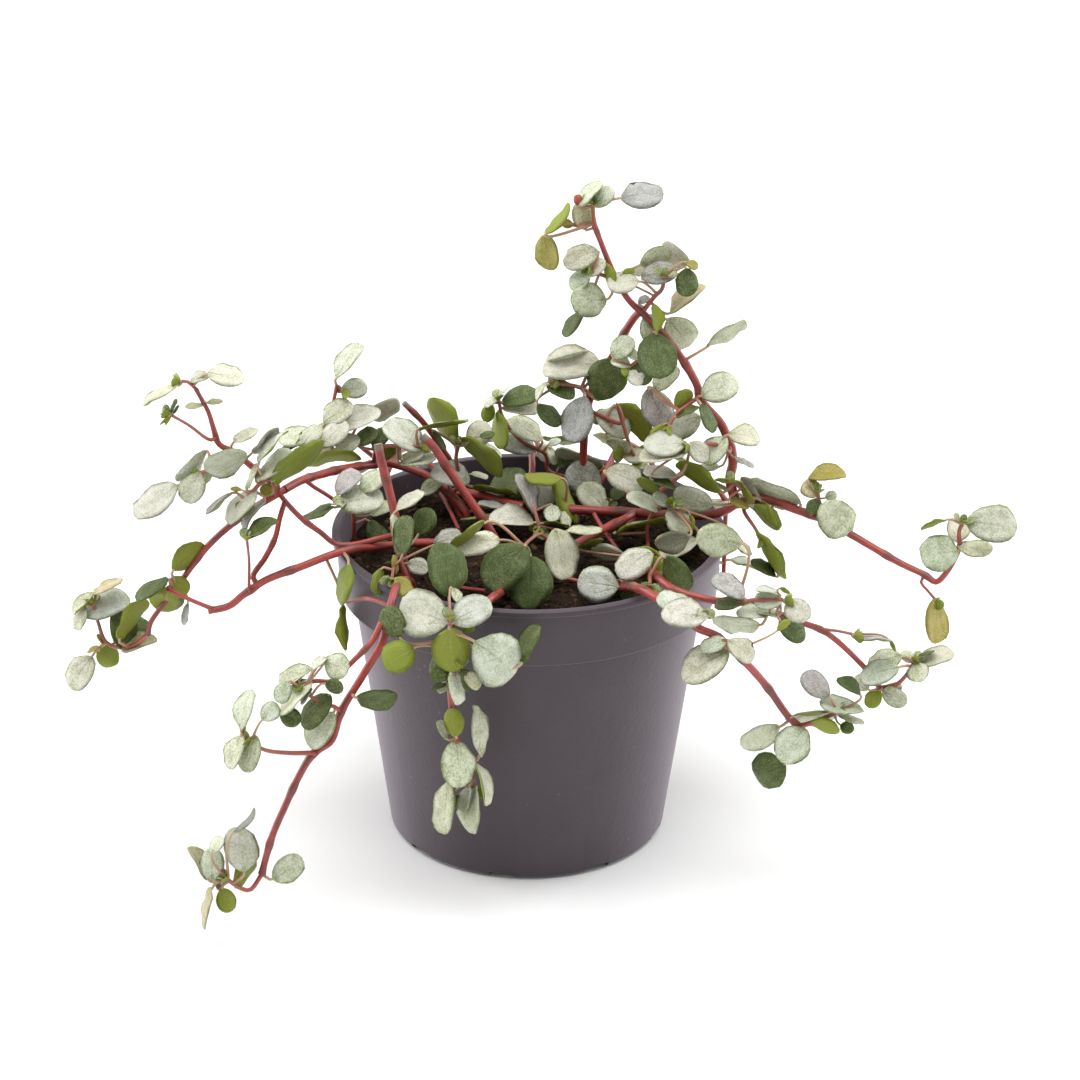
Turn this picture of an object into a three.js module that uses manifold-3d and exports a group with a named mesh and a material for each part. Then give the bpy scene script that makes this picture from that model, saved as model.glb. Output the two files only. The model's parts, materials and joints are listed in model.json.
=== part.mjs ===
// A trailing, silver-leaved pilea in a nine-centimetre nursery pot. Millimetres, +Z up.
// The pot stands on its feet at z = 0 with its axis on the Z axis, and the plant's front looks along -Y.
import * as THREE from 'three';
import { mergeVertices } from 'three/addons/utils/BufferGeometryUtils.js';
import Module from 'manifold-3d';

const wasm = await Module();
wasm.setup();

// ---------------------------------------------------------------- driving dimensions

const GAP = 0.3; // clearance between neighbouring pieces
const WELD = 0.002; // corners nearer together than this are one

const POT_HEIGHT = 73.5;
const RIM_RADIUS = 45;
const RIM_LIP = 1.3; // height of the rolled lip
const COLLAR_TOP_RADIUS = 44;
const COLLAR_FOOT_RADIUS = 43.2;
const COLLAR_FOOT = 59.8; // height at which the collar steps in to the wall
const WALL_TOP_RADIUS = 40.3;
const BASE_RADIUS = 32.2;
const BASE_ROUND = 0.9;
const POT_WALL = 1.1;
const POT_FLOOR = 1.2;
const POT_SEGMENTS = 36;
const FOOT_HEIGHT = 1.5; // the floor of the pot stands this far off the table
const FOOT_RING_WIDTH = 1.8;
const NOTCH_COUNT = 9; // gaps in the foot ring
const NOTCH_FIRST = -50; // degrees round from the front, towards +X
const NOTCH_WIDTH = 6.5;
const DRAIN_COUNT = 6;
const DRAIN_RADIUS = 3;
const DRAIN_CIRCLE = 21;
const DRAIN_SIDES = 8;

const SOIL_TOP = 68;
const SOIL_CLEARANCE = 0.4; // to the pot's inner wall
const ROOT_DEPTH = 1;
const ROOTING = 1.5; // a stem that starts this close to the soil or to another stem grows from it

const STEM_SIDES = 5;
const STEM_STEP = 6; // length of a straight piece of a stem
const TWIG_SIDES = 3;
const TWIG_STEP = 5;
const CURVE_SAMPLES = 60;

const LEAF_SHAPE = 0.82; // width of a leaf over its length
const LEAF_THICKNESS = 0.8;
const LEAF_CROWN = 0.5; // its thickest place, along its length
const LEAF_SHOULDERS = [[0.78, 0.41], [0.25, 0.47]]; // outline corners: part of the length, part of the width
const SMALL_LEAF_SHOULDERS = [[0.45, 0.5]];
const SMALL_LEAF = 8; // a leaf shorter than this has a simpler outline
const LONGEST_TAPER = 4; // a leaf nearer to its twig than this tapers straight into it
const TAPER_ASIDE = 0.35; // ... unless its base lies aside of the twig by more than this part of its width
const LONGEST_PETIOLE = 6; // a leaf farther from its twig than this may grow from a stem instead
const PETIOLE_RADIUS = 0.38;
const PETIOLE_DEPTH = 1.5; // its depth over half its width
const FOOT_IN_TWIG = 0.2; // a leaf's foot narrows to this part of its petiole, inside the twig
const SHORTEST_LEAF = 5; // buds below this are left out
const LEAF_SHIFTS = [0, -1, 1, -2, 2, -3, 3, -4.5, 4.5, -6, 6];

// ---------------------------------------------------------------- lines of sight

// Places that were read from the photograph are a pixel (u right, v down) and a depth, the place's y.
// The eye that looks at it was fitted to the pot's rim and foot.
const PICTURE_CENTRE = 540; // pixels
const FOCAL_LENGTH = 3285; // pixels
const EYE = new THREE.Vector3(0, -685.2, 377.2);
const EYE_DIP = THREE.MathUtils.degToRad(24.1);
const EYE_TURN = THREE.MathUtils.degToRad(0.21);
const EYE_ROLL = THREE.MathUtils.degToRad(0.5);

const UPWARD = new THREE.Vector3(0, 0, 1);
const RIGHT = new THREE.Vector3(Math.cos(EYE_TURN), -Math.sin(EYE_TURN), 0);
const FORWARD = new THREE.Vector3(Math.sin(EYE_TURN), Math.cos(EYE_TURN), 0)
    .multiplyScalar(Math.cos(EYE_DIP)).addScaledVector(UPWARD, -Math.sin(EYE_DIP));
const UP = new THREE.Vector3().crossVectors(RIGHT, FORWARD);

function sightLine(u, v) {
    const x = u - PICTURE_CENTRE;
    const y = PICTURE_CENTRE - v;
    const across = x * Math.cos(EYE_ROLL) - y * Math.sin(EYE_ROLL);
    const upward = x * Math.sin(EYE_ROLL) + y * Math.cos(EYE_ROLL);
    return FORWARD.clone().multiplyScalar(FOCAL_LENGTH)
        .addScaledVector(RIGHT, across).addScaledVector(UP, upward).normalize();
}

function seen(u, v, depth) {
    const line = sightLine(u, v);
    return EYE.clone().addScaledVector(line, (depth - EYE.y) / line.y);
}

// ---------------------------------------------------------------- stems and leaves, as read from the photograph

// Each stem: its radius at the first and last point, and its route as [u, v, depth].
const STEMS = {
    "stem_across": {"radius": [1.15, 1.05], "route": [
        [450, 495, 30], [477, 495, 24], [522, 507, 17], [562, 509, 14], [600, 511, 12], [640, 513, 9],
        [690, 516, 5], [722, 512, 3], [736, 504, 3]]},
    "stem_far_right": {"radius": [1.1, 0.6], "route": [
        [741, 502, 2.5], [762, 499, 1], [800, 511, -1], [820, 518, -2], [850, 534, -5], [900, 563, -10],
        [925, 575, -13], [936, 582, -15], [946, 573, -16], [957, 554, -18], [960, 545, -19]]},
    "stem_tower_right": {"radius": [1.2, 0.6], "route": [
        [734, 497, 4], [730, 478, 5], [733, 462, 6], [728, 440, 7], [721, 424, 8], [701, 400, 10],
        [697, 385, 11], [678, 353, 13], [662, 333, 14], [647, 317, 15], [628, 299, 16], [613, 272, 17],
        [600, 240, 18], [594, 224, 18]]},
    "stem_tower_left": {"radius": [1, 0.9], "route": [
        [588, 495, 30], [584, 470, 28], [584, 440, 26], [589, 400, 24], [597, 378, 22.5], [611, 359, 21],
        [622, 337, 19], [634, 318, 17]]},
    "stem_right": {"radius": [1.1, 0.55], "route": [
        [641, 560, -8], [653, 571, -22], [661, 580, -34], [677, 591, -39], [716, 601, -41], [755, 604, -41],
        [770, 611, -41], [800, 622, -41], [825, 632, -41], [865, 668, -40], [880, 688, -39]]},
    "stem_lower_right": {"radius": [1.15, 0.8], "route": [
        [618, 585, -22], [632, 587, -33], [645, 591, -41], [670, 606, -47], [698, 628, -48],
        [714, 635, -48], [745, 662, -46], [768, 688, -44], [788, 716, -43], [798, 726, -43]]},
    "stem_front": {"radius": [1, 0.6], "route": [
        [506, 587, -22.5], [499, 594, -34], [490, 599, -44.5], [471, 614, -49], [452, 626, -51],
        [450, 650, -52], [451, 700, -49], [454, 722, -48], [458, 745, -47], [470, 772, -45], [475, 787, -44]]},
    "stem_cut_left": {"radius": [1, 1], "route": [
        [406, 577, -16], [396, 520, -13], [390, 494, -12], [382, 463, -10], [378, 444, -9]]},
    "stem_cut_centre": {"radius": [1.05, 1], "route": [
        [497, 543, 1], [478, 512, 3], [450, 472, 6], [433, 446, 8], [422, 436, 9]]},
    "stem_cut_back": {"radius": [0.8, 0.7], "route": [
        [462, 491, 30], [450, 462, 28], [435, 438, 26], [421, 420, 25], [404, 403, 24]]},
    "stem_cut_front": {"radius": [0.95, 0.95], "route": [
        [628, 517, 6], [600, 531, 0], [572, 546, -8]]},
    "stem_left_upper": {"radius": [1.05, 0.95], "route": [
        [466, 513, 19], [445, 490, 22], [425, 475, 25], [388, 463, 28], [370, 465, 23], [342, 469, 13],
        [319, 475, 5], [300, 481, -3], [284, 490, -9]]},
    "stem_left_trail": {"radius": [0.9, 0.55], "route": [
        [272, 497, -11], [252, 509, -12], [232, 524, -12], [208, 546, -13], [187, 573, -14],
        [175, 590, -14], [159, 610, -14], [151, 622, -14], [148, 634, -13]]},
    "stem_left_prop": {"radius": [0.7, 0.6], "route": [
        [339, 545, -13], [320, 532, -12.5], [300, 517, -12], [285, 501, -11]]},
    "stem_left_hanging": {"radius": [0.6, 0.65], "route": [
        [279, 502, -11.5], [280, 517, -13], [275, 538, -15], [265, 558, -18], [253, 577, -21]]},
    "stem_left_lower": {"radius": [1, 0.8], "route": [
        [455, 545, 0], [437, 543, -5], [415, 543, -8], [385, 546, -12], [344, 551, -16.5], [300, 567, -19],
        [266, 580, -21], [252, 589, -22], [243, 595, -22.5], [229, 606, -23], [208, 611, -24]]},
    "stem_down_left": {"radius": [0.95, 0.75], "route": [
        [412, 586, -22], [399, 582, -34], [392, 600, -41], [387, 620, -44], [383, 640, -46],
        [363, 675, -49], [341, 712, -52], [331, 741, -54], [318, 750, -55], [311, 756, -56],
        [298, 778, -57], [286, 804, -58], [273, 834, -59], [265, 861, -60], [262, 874, -60.5]]},
    "stem_down_left_side": {"radius": [0.75, 0.45], "route": [
        [384, 618, -47.5], [373, 640, -50], [366, 648, -51], [348, 666, -52], [332, 681, -53],
        [315, 681, -54], [300, 686, -54]]},
    "stem_upper_left": {"radius": [0.9, 0.45], "route": [
        [276, 485, -12], [264, 476, -12], [250, 465, -12], [235, 453, -13], [219, 444, -13],
        [214, 430, -13], [208, 411, -13], [203, 402, -13], [196, 389, -13]]},
    "stem_back_left": {"radius": [0.6, 0.45], "route": [
        [378, 460, 27], [360, 446, 27], [341, 431, 27], [334, 420, 27], [334, 400, 27], [337, 386, 27]]},
};

// Each sprig: the stem it is one body with ("" where it is a body of its own), its twig's radius and route,
// and its leaves as [base u, base v, tip u, tip v, width in pixels, look, depth behind the twig (0 if left out)].
// Looks: W white-silver, S silver, M mauve-grey, D deep green, B beige, Y yellowed, R red bud,
// and G for a leaf that shows its green underside.
const SPRIGS = {
    "sprig_tower_tip": {"on": "", "radius": 0.5, "route": [
        [597, 233, 18], [594, 220, 18], [593, 206, 17]], "leaves": [
        [620, 198, 661, 194, 26, "M"], [578, 207, 600, 183, 13, "S"], [592, 206, 612, 190, 18, "S"],
        [584, 230, 581, 203, 21, "B"], [545, 234, 568, 205, 8, "G"], [545, 234, 553, 268, 22, "Y"],
        [573, 226, 563, 222, 9, "Y"], [578, 206, 578, 195, 9, "R"]]},
    "sprig_tower_west": {"on": "", "radius": 0.5, "route": [
        [616, 285, 16.5], [605, 276, 16], [592, 272, 15]], "leaves": [
        [598, 250, 566, 264, 24, "S"], [590, 270, 572, 288, 17, "S"], [588, 276, 604, 261, 15, "S"],
        [607, 300, 573, 300, 34, "S"], [604, 262, 611, 286, 11, "G"], [583, 311, 565, 335, 13, "D"],
        [588, 276, 583, 268, 8, "G"]]},
    "sprig_tower_east": {"on": "", "radius": 0.55, "route": [
        [647, 306, 15], [655, 296, 14], [662, 289, 13], [664, 278, 12]], "leaves": [
        [639, 281, 609, 284, 22, "W"], [640, 265, 669, 252, 20, "S"], [627, 274, 661, 261, 13, "S"],
        [641, 278, 675, 271, 24, "M"], [690, 265, 665, 244, 18, "W"], [686, 262, 697, 268, 9, "Y"],
        [687, 268, 686, 295, 22, "D"], [670, 314, 704, 288, 16, "B"], [638, 303, 649, 298, 8, "M"],
        [622, 274, 634, 271, 7, "G"]]},
    "sprig_tower_middle": {"on": "", "radius": 0.5, "route": [
        [655, 330, 12.5], [648, 345, 11], [638, 360, 10], [631, 366, 10]], "leaves": [
        [657, 333, 653, 306, 12, "G"], [652, 346, 650, 316, 22, "S", 3], [668, 318, 688, 345, 32, "S", 2],
        [655, 332, 660, 376, 38, "D"], [612, 358, 632, 340, 20, "S"], [640, 360, 620, 351, 10, "S"],
        [631, 366, 612, 361, 12, "S"], [631, 366, 650, 380, 22, "D"], [632, 366, 640, 384, 18, "S"]]},
    "sprig_tower_low": {"on": "", "radius": 0.55, "route": [
        [589, 398, 22.5], [585, 390, 21], [575, 386, 19], [560, 384, 18]], "leaves": [
        [602, 366, 546, 370, 32, "W"], [590, 354, 550, 362, 13, "W"], [546, 386, 573, 396, 18, "D"],
        [547, 382, 537, 399, 7, "S"], [600, 400, 612, 362, 39, "D", -3], [585, 396, 573, 440, 31, "M", -2],
        [537, 404, 559, 424, 17, "D"], [594, 420, 608, 412, 12, "G", 3]]},
    "sprig_tower_side": {"on": "", "radius": 0.5, "route": [
        [697, 398, 8.5], [689, 404, 8], [678, 412, 6], [670, 424, 5]], "leaves": [
        [655, 391, 677, 369, 18, "S"], [701, 396, 736, 384, 28, "S"], [707, 347, 744, 323, 14, "S"],
        [648, 388, 664, 425, 30, "M"], [676, 409, 691, 392, 14, "G"], [701, 417, 664, 432, 28, "W"],
        [701, 404, 713, 431, 14, "D"], [664, 424, 655, 441, 14, "G"], [675, 417, 698, 408, 8, "D"]]},
    "sprig_inner_tower": {"on": "", "radius": 0.5, "route": [
        [622, 423, 20], [617, 404, 19], [628, 440, 20], [634, 456, 20]], "leaves": [
        [597, 412, 627, 434, 26, "W"], [616, 404, 647, 440, 20, "G", 3], [606, 440, 630, 448, 14, "S"],
        [628, 443, 617, 461, 12, "G"], [622, 456, 646, 456, 16, "S"], [594, 424, 602, 416, 10, "G"]]},
    "sprig_crown_right": {"on": "", "radius": 0.55, "route": [
        [728, 452, 3], [718, 445, 2], [706, 444, 1], [691, 446, 0]], "leaves": [
        [728, 434, 758, 441, 20, "S"], [727, 437, 706, 462, 23, "S"], [690, 442, 706, 460, 19, "W"],
        [686, 444, 646, 446, 24, "W"], [688, 452, 642, 459, 22, "W"], [720, 467, 698, 467, 9, "S"],
        [733, 457, 753, 467, 6, "M"], [677, 476, 645, 472, 13, "W"], [652, 480, 674, 488, 9, "D"]]},
    "sprig_rim_right": {"on": "", "radius": 0.6, "route": [
        [748, 502, 0], [748, 494, -1], [741, 488, -2], [735, 482, -2]], "leaves": [
        [721, 493, 679, 465, 17, "G"], [713, 504, 676, 493, 27, "W"], [715, 480, 741, 484, 4, "G"],
        [740, 484, 752, 503, 7, "G"], [768, 520, 744, 479, 15, "M", -2], [753, 505, 777, 529, 16, "G"],
        [761, 500, 776, 524, 8, "G"], [729, 500, 748, 507, 9, "Y"], [801, 503, 752, 482, 22, "W"]]},
    "sprig_right_drop": {"on": "stem_far_right", "radius": 0.45, "route": [
        [744, 511, 0], [755, 528, -2], [760, 537, -3]], "leaves": [
        [755, 528, 783, 577, 13, "G"], [776, 577, 752, 562, 12, "D"]]},
    "sprig_curled_right": {"on": "", "radius": 0.5, "route": [
        [812, 513, -3], [818, 504, -4], [818, 494, -4]], "leaves": [
        [852, 533, 823, 507, 36, "S"], [820, 499, 809, 512, 14, "D"], [825, 498, 836, 494, 10, "S"],
        [817, 497, 805, 482, 18, "B"], [808, 478, 844, 476, 15, "Y"]]},
    "sprig_far_right": {"on": "", "radius": 0.5, "route": [
        [961, 541, -19], [959, 532, -19], [962, 524, -20]], "leaves": [
        [959, 551, 922, 555, 35, "S"], [958, 543, 959, 519, 23, "W"], [966, 521, 1014, 529, 36, "W"],
        [958, 548, 991, 549, 17, "S"], [947, 519, 922, 528, 3, "G"]]},
    "leaf_hanging_right": {"on": "stem_far_right", "radius": 0.35, "route": [
        [921, 582, -13], [928, 591, -15], [934, 598, -15]], "leaves": [
        [934, 598, 935, 641, 22, "Y"]]},
    "sprig_right_rim_front": {"on": "", "radius": 0.5, "route": [
        [722, 600, -43], [735, 604, -44.5], [752, 600, -45], [768, 600, -45], [783, 600, -45]], "leaves": [
        [745, 598, 714, 579, 20, "M"], [745, 602, 716, 606, 14, "D"], [783, 600, 756, 602, 19, "W"],
        [780, 594, 757, 589, 7, "W"], [785, 603, 808, 617, 24, "W"], [779, 588, 789, 593, 5, "G"],
        [768, 616, 738, 613, 13, "S"], [760, 626, 715, 621, 16, "S"], [779, 616, 758, 612, 9, "S"],
        [779, 620, 802, 640, 20, "D"]]},
    "leaf_hooked_right": {"on": "stem_right", "radius": 0.35, "route": [
        [824, 629, -42], [838, 631, -42], [852, 634, -42]], "leaves": [
        [854, 638, 891, 641, 6, "M"], [889, 640, 895, 651, 4, "G"]]},
    "sprig_right_end": {"on": "", "radius": 0.5, "route": [
        [886, 690, -39], [897, 684, -39.5], [907, 674, -40], [914, 663, -40]], "leaves": [
        [902, 656, 871, 668, 22, "S"], [899, 667, 863, 680, 24, "S"], [868, 690, 856, 677, 16, "S"],
        [882, 691, 905, 703, 19, "S"], [880, 690, 868, 706, 16, "G"], [884, 694, 901, 686, 12, "S"],
        [914, 662, 902, 653, 11, "S"], [918, 664, 952, 654, 18, "W"], [914, 663, 921, 680, 22, "S"],
        [918, 656, 934, 651, 3, "D"]]},
    "sprig_lower_right_node": {"on": "stem_lower_right", "radius": 0.5, "route": [
        [721, 641, -50], [728, 641, -51.5], [736, 650, -51.5]], "leaves": [
        [728, 640, 702, 650, 16, "S"], [728, 640, 751, 660, 22, "W"], [729, 651, 686, 679, 32, "S"],
        [777, 631, 790, 621, 8, "G"]]},
    "sprig_lower_right_end": {"on": "", "radius": 0.55, "route": [
        [802, 729, -43.5], [808, 724, -44], [824, 718, -44], [838, 712, -44]], "leaves": [
        [780, 727, 743, 744, 21, "S"], [804, 727, 783, 760, 34, "S"], [810, 722, 838, 731, 14, "G"],
        [785, 719, 836, 712, 11, "S"], [838, 714, 863, 722, 7, "S"], [864, 711, 822, 703, 17, "W"],
        [829, 697, 804, 675, 23, "M"], [861, 695, 838, 680, 13, "D"], [840, 725, 853, 730, 12, "D"],
        [786, 764, 756, 776, 37, "D"]]},
    "sprig_front_rosette": {"on": "", "radius": 0.55, "route": [
        [449, 635, -53], [450, 627, -54], [450, 621, -54]], "leaves": [
        [448, 623, 402, 606, 47, "W"], [400, 638, 388, 608, 24, "D", 3], [415, 647, 386, 664, 31, "G"],
        [449, 628, 452, 669, 38, "G", -1], [474, 641, 514, 671, 52, "W"], [453, 623, 489, 604, 30, "W"],
        [522, 663, 537, 627, 17, "D", 2], [452, 640, 436, 676, 17, "D", 4], [462, 632, 474, 628, 8, "G"],
        [449, 597, 441, 546, 38, "D", 6], [452, 588, 459, 602, 10, "S", 6]]},
    "sprig_front_middle": {"on": "stem_front", "radius": 0.5, "route": [
        [452, 683, -52.5], [455, 674, -53.5], [458, 668, -53.5]], "leaves": [
        [450, 671, 432, 676, 16, "D"], [452, 668, 458, 703, 16, "S"], [462, 668, 468, 690, 12, "D"],
        [464, 672, 478, 688, 14, "S"], [450, 682, 439, 692, 9, "S"], [447, 684, 432, 690, 6, "D"]]},
    "sprig_front_lower": {"on": "", "radius": 0.5, "route": [
        [456, 733, -50], [458, 740, -51], [466, 760, -50], [475, 785, -48.5]], "leaves": [
        [456, 737, 451, 710, 19, "G"], [447, 740, 438, 722, 11, "S"], [480, 758, 476, 708, 17, "S"],
        [455, 740, 459, 785, 34, "S"], [449, 781, 444, 831, 21, "S"], [470, 785, 463, 811, 14, "S"],
        [476, 784, 473, 831, 19, "S"], [476, 762, 487, 803, 10, "S"], [456, 790, 455, 808, 5, "G"]]},
    "sprig_down_left_node": {"on": "", "radius": 0.45, "route": [
        [335, 707, -53.5], [326, 704, -54], [316, 700, -54.5], [303, 690, -55]], "leaves": [
        [356, 698, 395, 697, 21, "D", -2], [325, 683, 342, 690, 14, "D"], [330, 694, 306, 727, 24, "D"],
        [334, 712, 312, 746, 26, "S"], [312, 668, 281, 683, 14, "S"], [287, 681, 280, 702, 17, "S"],
        [312, 680, 283, 714, 16, "S"], [280, 715, 300, 720, 18, "D"], [312, 688, 302, 704, 6, "M"],
        [325, 662, 347, 670, 26, "S"], [327, 657, 313, 668, 9, "S"]]},
    "sprig_down_left_side": {"on": "", "radius": 0.5, "route": [
        [314, 753, -57], [290, 753, -58], [265, 750, -58.5], [251, 742, -59]], "leaves": [
        [262, 720, 277, 705, 18, "S"], [240, 731, 251, 692, 17, "S"], [244, 734, 240, 724, 6, "G"],
        [243, 735, 230, 767, 18, "S"], [256, 735, 246, 770, 22, "S"]]},
    "sprig_down_left_tip": {"on": "", "radius": 0.5, "route": [
        [260, 880, -61], [250, 890, -62], [240, 888, -62.5], [228, 880, -63]], "leaves": [
        [245, 872, 235, 830, 32, "W"], [233, 832, 254, 810, 6, "M"], [212, 881, 213, 850, 24, "S"],
        [212, 853, 222, 838, 12, "S"], [208, 880, 189, 849, 13, "B"], [212, 887, 204, 927, 7, "B"],
        [217, 890, 227, 871, 8, "D"], [222, 888, 229, 911, 19, "G"], [235, 888, 255, 862, 16, "G"],
        [273, 880, 300, 859, 25, "S"]]},
    "sprig_far_left": {"on": "", "radius": 0.5, "route": [
        [146, 636, -12], [136, 644, -10], [122, 648, -8], [106, 642, -6], [98, 622, -5], [94, 606, -4]], "leaves": [
        [82, 616, 127, 600, 27, "W"], [92, 594, 121, 580, 10, "B"], [95, 592, 74, 612, 9, "S"],
        [84, 605, 78, 629, 13, "S"], [123, 650, 118, 612, 25, "D"], [118, 640, 145, 602, 16, "G"],
        [116, 642, 148, 625, 28, "D"], [122, 652, 155, 640, 14, "B"], [104, 645, 97, 635, 6, "Y"],
        [102, 647, 88, 653, 5, "Y"], [98, 650, 117, 662, 22, "G"], [92, 656, 74, 688, 25, "S"]]},
    "sprig_left_trail_node": {"on": "stem_left_trail", "radius": 0.5, "route": [
        [178, 583, -15.5], [172, 586, -16.5], [167, 588, -17]], "leaves": [
        [172, 570, 203, 547, 22, "G"], [170, 578, 187, 592, 18, "G"], [168, 588, 165, 610, 34, "G"],
        [168, 578, 138, 599, 14, "D"], [188, 603, 184, 624, 6, "M"]]},
    "sprig_left_hanging": {"on": "stem_left_lower", "radius": 0.35, "route": [
        [249, 589, -24], [249, 580, -23], [249, 560, -23], [247, 541, -23]], "leaves": [
        [247, 539, 276, 521, 13, "D"], [349, 563, 342, 603, 16, "G"], [343, 604, 346, 648, 12, "G"]]},
    "sprig_upper_left_tip": {"on": "stem_upper_left", "radius": 0.4, "route": [
        [194, 386, -13], [188, 382, -13], [182, 381, -13]], "leaves": [
        [207, 374, 242, 378, 22, "S"], [190, 382, 208, 376, 11, "S"], [180, 385, 145, 404, 9, "S"],
        [206, 403, 222, 401, 6, "B"], [204, 405, 186, 407, 6, "B"]]},
    "sprig_upper_left_side": {"on": "stem_upper_left", "radius": 0.4, "route": [
        [212, 440, -14.5], [206, 438, -15], [190, 426, -15], [171, 415, -15]], "leaves": [
        [171, 414, 177, 400, 4, "D"], [171, 416, 160, 424, 3, "G"], [172, 415, 179, 406, 3, "D"],
        [171, 416, 166, 425, 3, "G"]]},
    "sprig_upper_left_low": {"on": "", "radius": 0.5, "route": [
        [232, 457, -15.5], [222, 464, -16], [210, 470, -16], [198, 474, -16], [195, 482, -16]], "leaves": [
        [247, 453, 206, 466, 26, "W"], [206, 450, 178, 479, 14, "S"], [233, 442, 257, 430, 11, "S"],
        [178, 485, 136, 513, 25, "W"], [200, 472, 187, 501, 25, "S"], [198, 476, 194, 470, 7, "G"],
        [207, 483, 206, 470, 10, "S"]]},
    "sprig_left_fan": {"on": "", "radius": 0.55, "route": [
        [272, 478, -15], [262, 482, -16], [254, 490, -16], [246, 500, -16]], "leaves": [
        [252, 453, 277, 429, 11, "M"], [258, 463, 286, 432, 6, "S"], [272, 482, 320, 442, 20, "G"],
        [255, 480, 283, 462, 14, "S"], [246, 490, 257, 465, 6, "S"], [257, 490, 229, 521, 18, "S"],
        [254, 500, 230, 520, 7, "G"], [266, 500, 245, 529, 8, "M"], [272, 495, 262, 486, 12, "Y"],
        [277, 486, 276, 472, 9, "Y"], [264, 474, 290, 452, 16, "S", 3], [232, 492, 208, 514, 4, "M"],
        [242, 490, 231, 489, 5, "Y"]]},
    "sprig_back_left_low": {"on": "", "radius": 0.5, "route": [
        [343, 437, 25], [333, 443, 23], [318, 446, 22], [302, 442, 21]], "leaves": [
        [316, 432, 281, 441, 20, "S"], [324, 424, 350, 404, 24, "S"], [305, 438, 281, 453, 6, "D"],
        [318, 448, 333, 425, 22, "S"], [316, 459, 335, 450, 13, "M"], [303, 466, 358, 460, 8, "G"],
        [338, 430, 378, 412, 22, "W"], [366, 416, 397, 401, 18, "W"], [322, 446, 346, 424, 22, "W", -4],
        [300, 446, 320, 428, 18, "W", -4], [336, 454, 358, 438, 18, "S", -3]]},
    "sprig_back_left_top": {"on": "stem_back_left", "radius": 0.4, "route": [
        [338, 384, 27], [341, 389, 27]], "leaves": [
        [335, 379, 361, 347, 18, "S"], [341, 390, 366, 388, 20, "W"], [341, 393, 336, 386, 7, "G"]]},
    "sprig_left_rim": {"on": "", "radius": 0.55, "route": [
        [355, 549, 0.5], [354, 530, 0], [352, 512, -2], [345, 506, -3]], "leaves": [
        [336, 503, 381, 499, 28, "S"], [336, 494, 359, 474, 19, "M", 2], [361, 492, 383, 474, 20, "S", 2],
        [336, 507, 304, 519, 9, "D"], [333, 504, 320, 507, 3, "D"], [369, 520, 384, 545, 18, "D", 2],
        [370, 515, 393, 505, 13, "S"]]},
    "sprig_back_middle": {"on": "", "radius": 0.5, "route": [
        [374, 461, 24], [376, 450, 22], [385, 446, 20], [400, 446, 18], [420, 446, 18]], "leaves": [
        [356, 444, 376, 431, 16, "D"], [372, 446, 387, 430, 16, "D"], [422, 450, 386, 426, 28, "W"],
        [380, 461, 398, 447, 12, "G"], [400, 464, 434, 457, 13, "S"], [418, 428, 466, 422, 3, "G"],
        [402, 462, 424, 452, 12, "S"]]},
    "sprig_crown_back": {"on": "", "radius": 0.55, "route": [
        [462, 484, 22], [458, 470, 20], [456, 458, 19], [458, 446, 18]], "leaves": [
        [455, 446, 431, 401, 23, "G"], [459, 439, 500, 474, 17, "G"], [468, 444, 488, 425, 24, "W"],
        [478, 441, 499, 459, 13, "S"], [479, 436, 494, 434, 8, "D"], [470, 482, 433, 473, 24, "W", -3],
        [470, 474, 487, 478, 6, "S"], [443, 481, 423, 494, 14, "S"], [472, 487, 514, 494, 5, "G"],
        [432, 431, 445, 449, 5, "D"], [488, 502, 522, 472, 30, "D", 4]]},
    "sprig_back_top": {"on": "", "radius": 0.5, "route": [
        [548, 470, 34], [546, 455, 34], [520, 440, 33], [502, 415, 32], [499, 401, 32]], "leaves": [
        [501, 403, 537, 395, 20, "D"], [502, 408, 537, 410, 18, "S"], [498, 397, 509, 386, 3, "S"],
        [498, 398, 485, 406, 8, "S"], [492, 404, 486, 421, 13, "G"], [498, 411, 500, 447, 17, "G"],
        [543, 440, 507, 423, 22, "S"], [536, 451, 500, 439, 22, "M"], [548, 447, 555, 464, 10, "S"],
        [604, 465, 558, 451, 14, "W"], [552, 463, 541, 446, 16, "W"], [558, 468, 572, 455, 12, "D"],
        [548, 445, 560, 440, 8, "S"]]},
    "sprig_centre": {"on": "", "radius": 0.5, "route": [
        [524, 504, 14], [530, 498, 11], [535, 512, 8], [539, 526, 6]], "leaves": [
        [535, 514, 516, 477, 15, "M"], [552, 508, 530, 481, 28, "W"], [578, 524, 560, 480, 18, "G"],
        [562, 478, 527, 476, 13, "G"], [553, 505, 552, 521, 17, "S"], [534, 523, 491, 520, 20, "W"],
        [502, 514, 463, 520, 9, "S"], [513, 510, 480, 503, 6, "M"], [533, 530, 548, 537, 11, "S"],
        [543, 523, 568, 527, 3, "G"], [570, 528, 561, 513, 11, "S"], [538, 524, 530, 530, 9, "G"]]},
    "sprig_centre_front": {"on": "", "radius": 0.45, "route": [
        [548, 540, -16], [540, 534, -18], [530, 540, -21], [524, 546, -24]], "leaves": [
        [556, 528, 564, 577, 33, "W"], [525, 546, 490, 586, 42, "D", -3], [531, 556, 529, 606, 42, "D", -1],
        [500, 540, 455, 548, 22, "S", 2], [486, 522, 453, 547, 8, "G", 4], [563, 532, 600, 532, 10, "S", 1],
        [556, 588, 577, 600, 15, "D", 1], [549, 586, 541, 601, 14, "D", 1]]},
    "sprig_inner_right": {"on": "", "radius": 0.5, "route": [
        [648, 545, 0], [647, 528, 0], [652, 514, 0], [662, 506, -2], [671, 505, -3]], "leaves": [
        [613, 533, 662, 519, 5, "G", 1], [661, 511, 629, 495, 16, "S"], [669, 506, 655, 494, 14, "S"],
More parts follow.
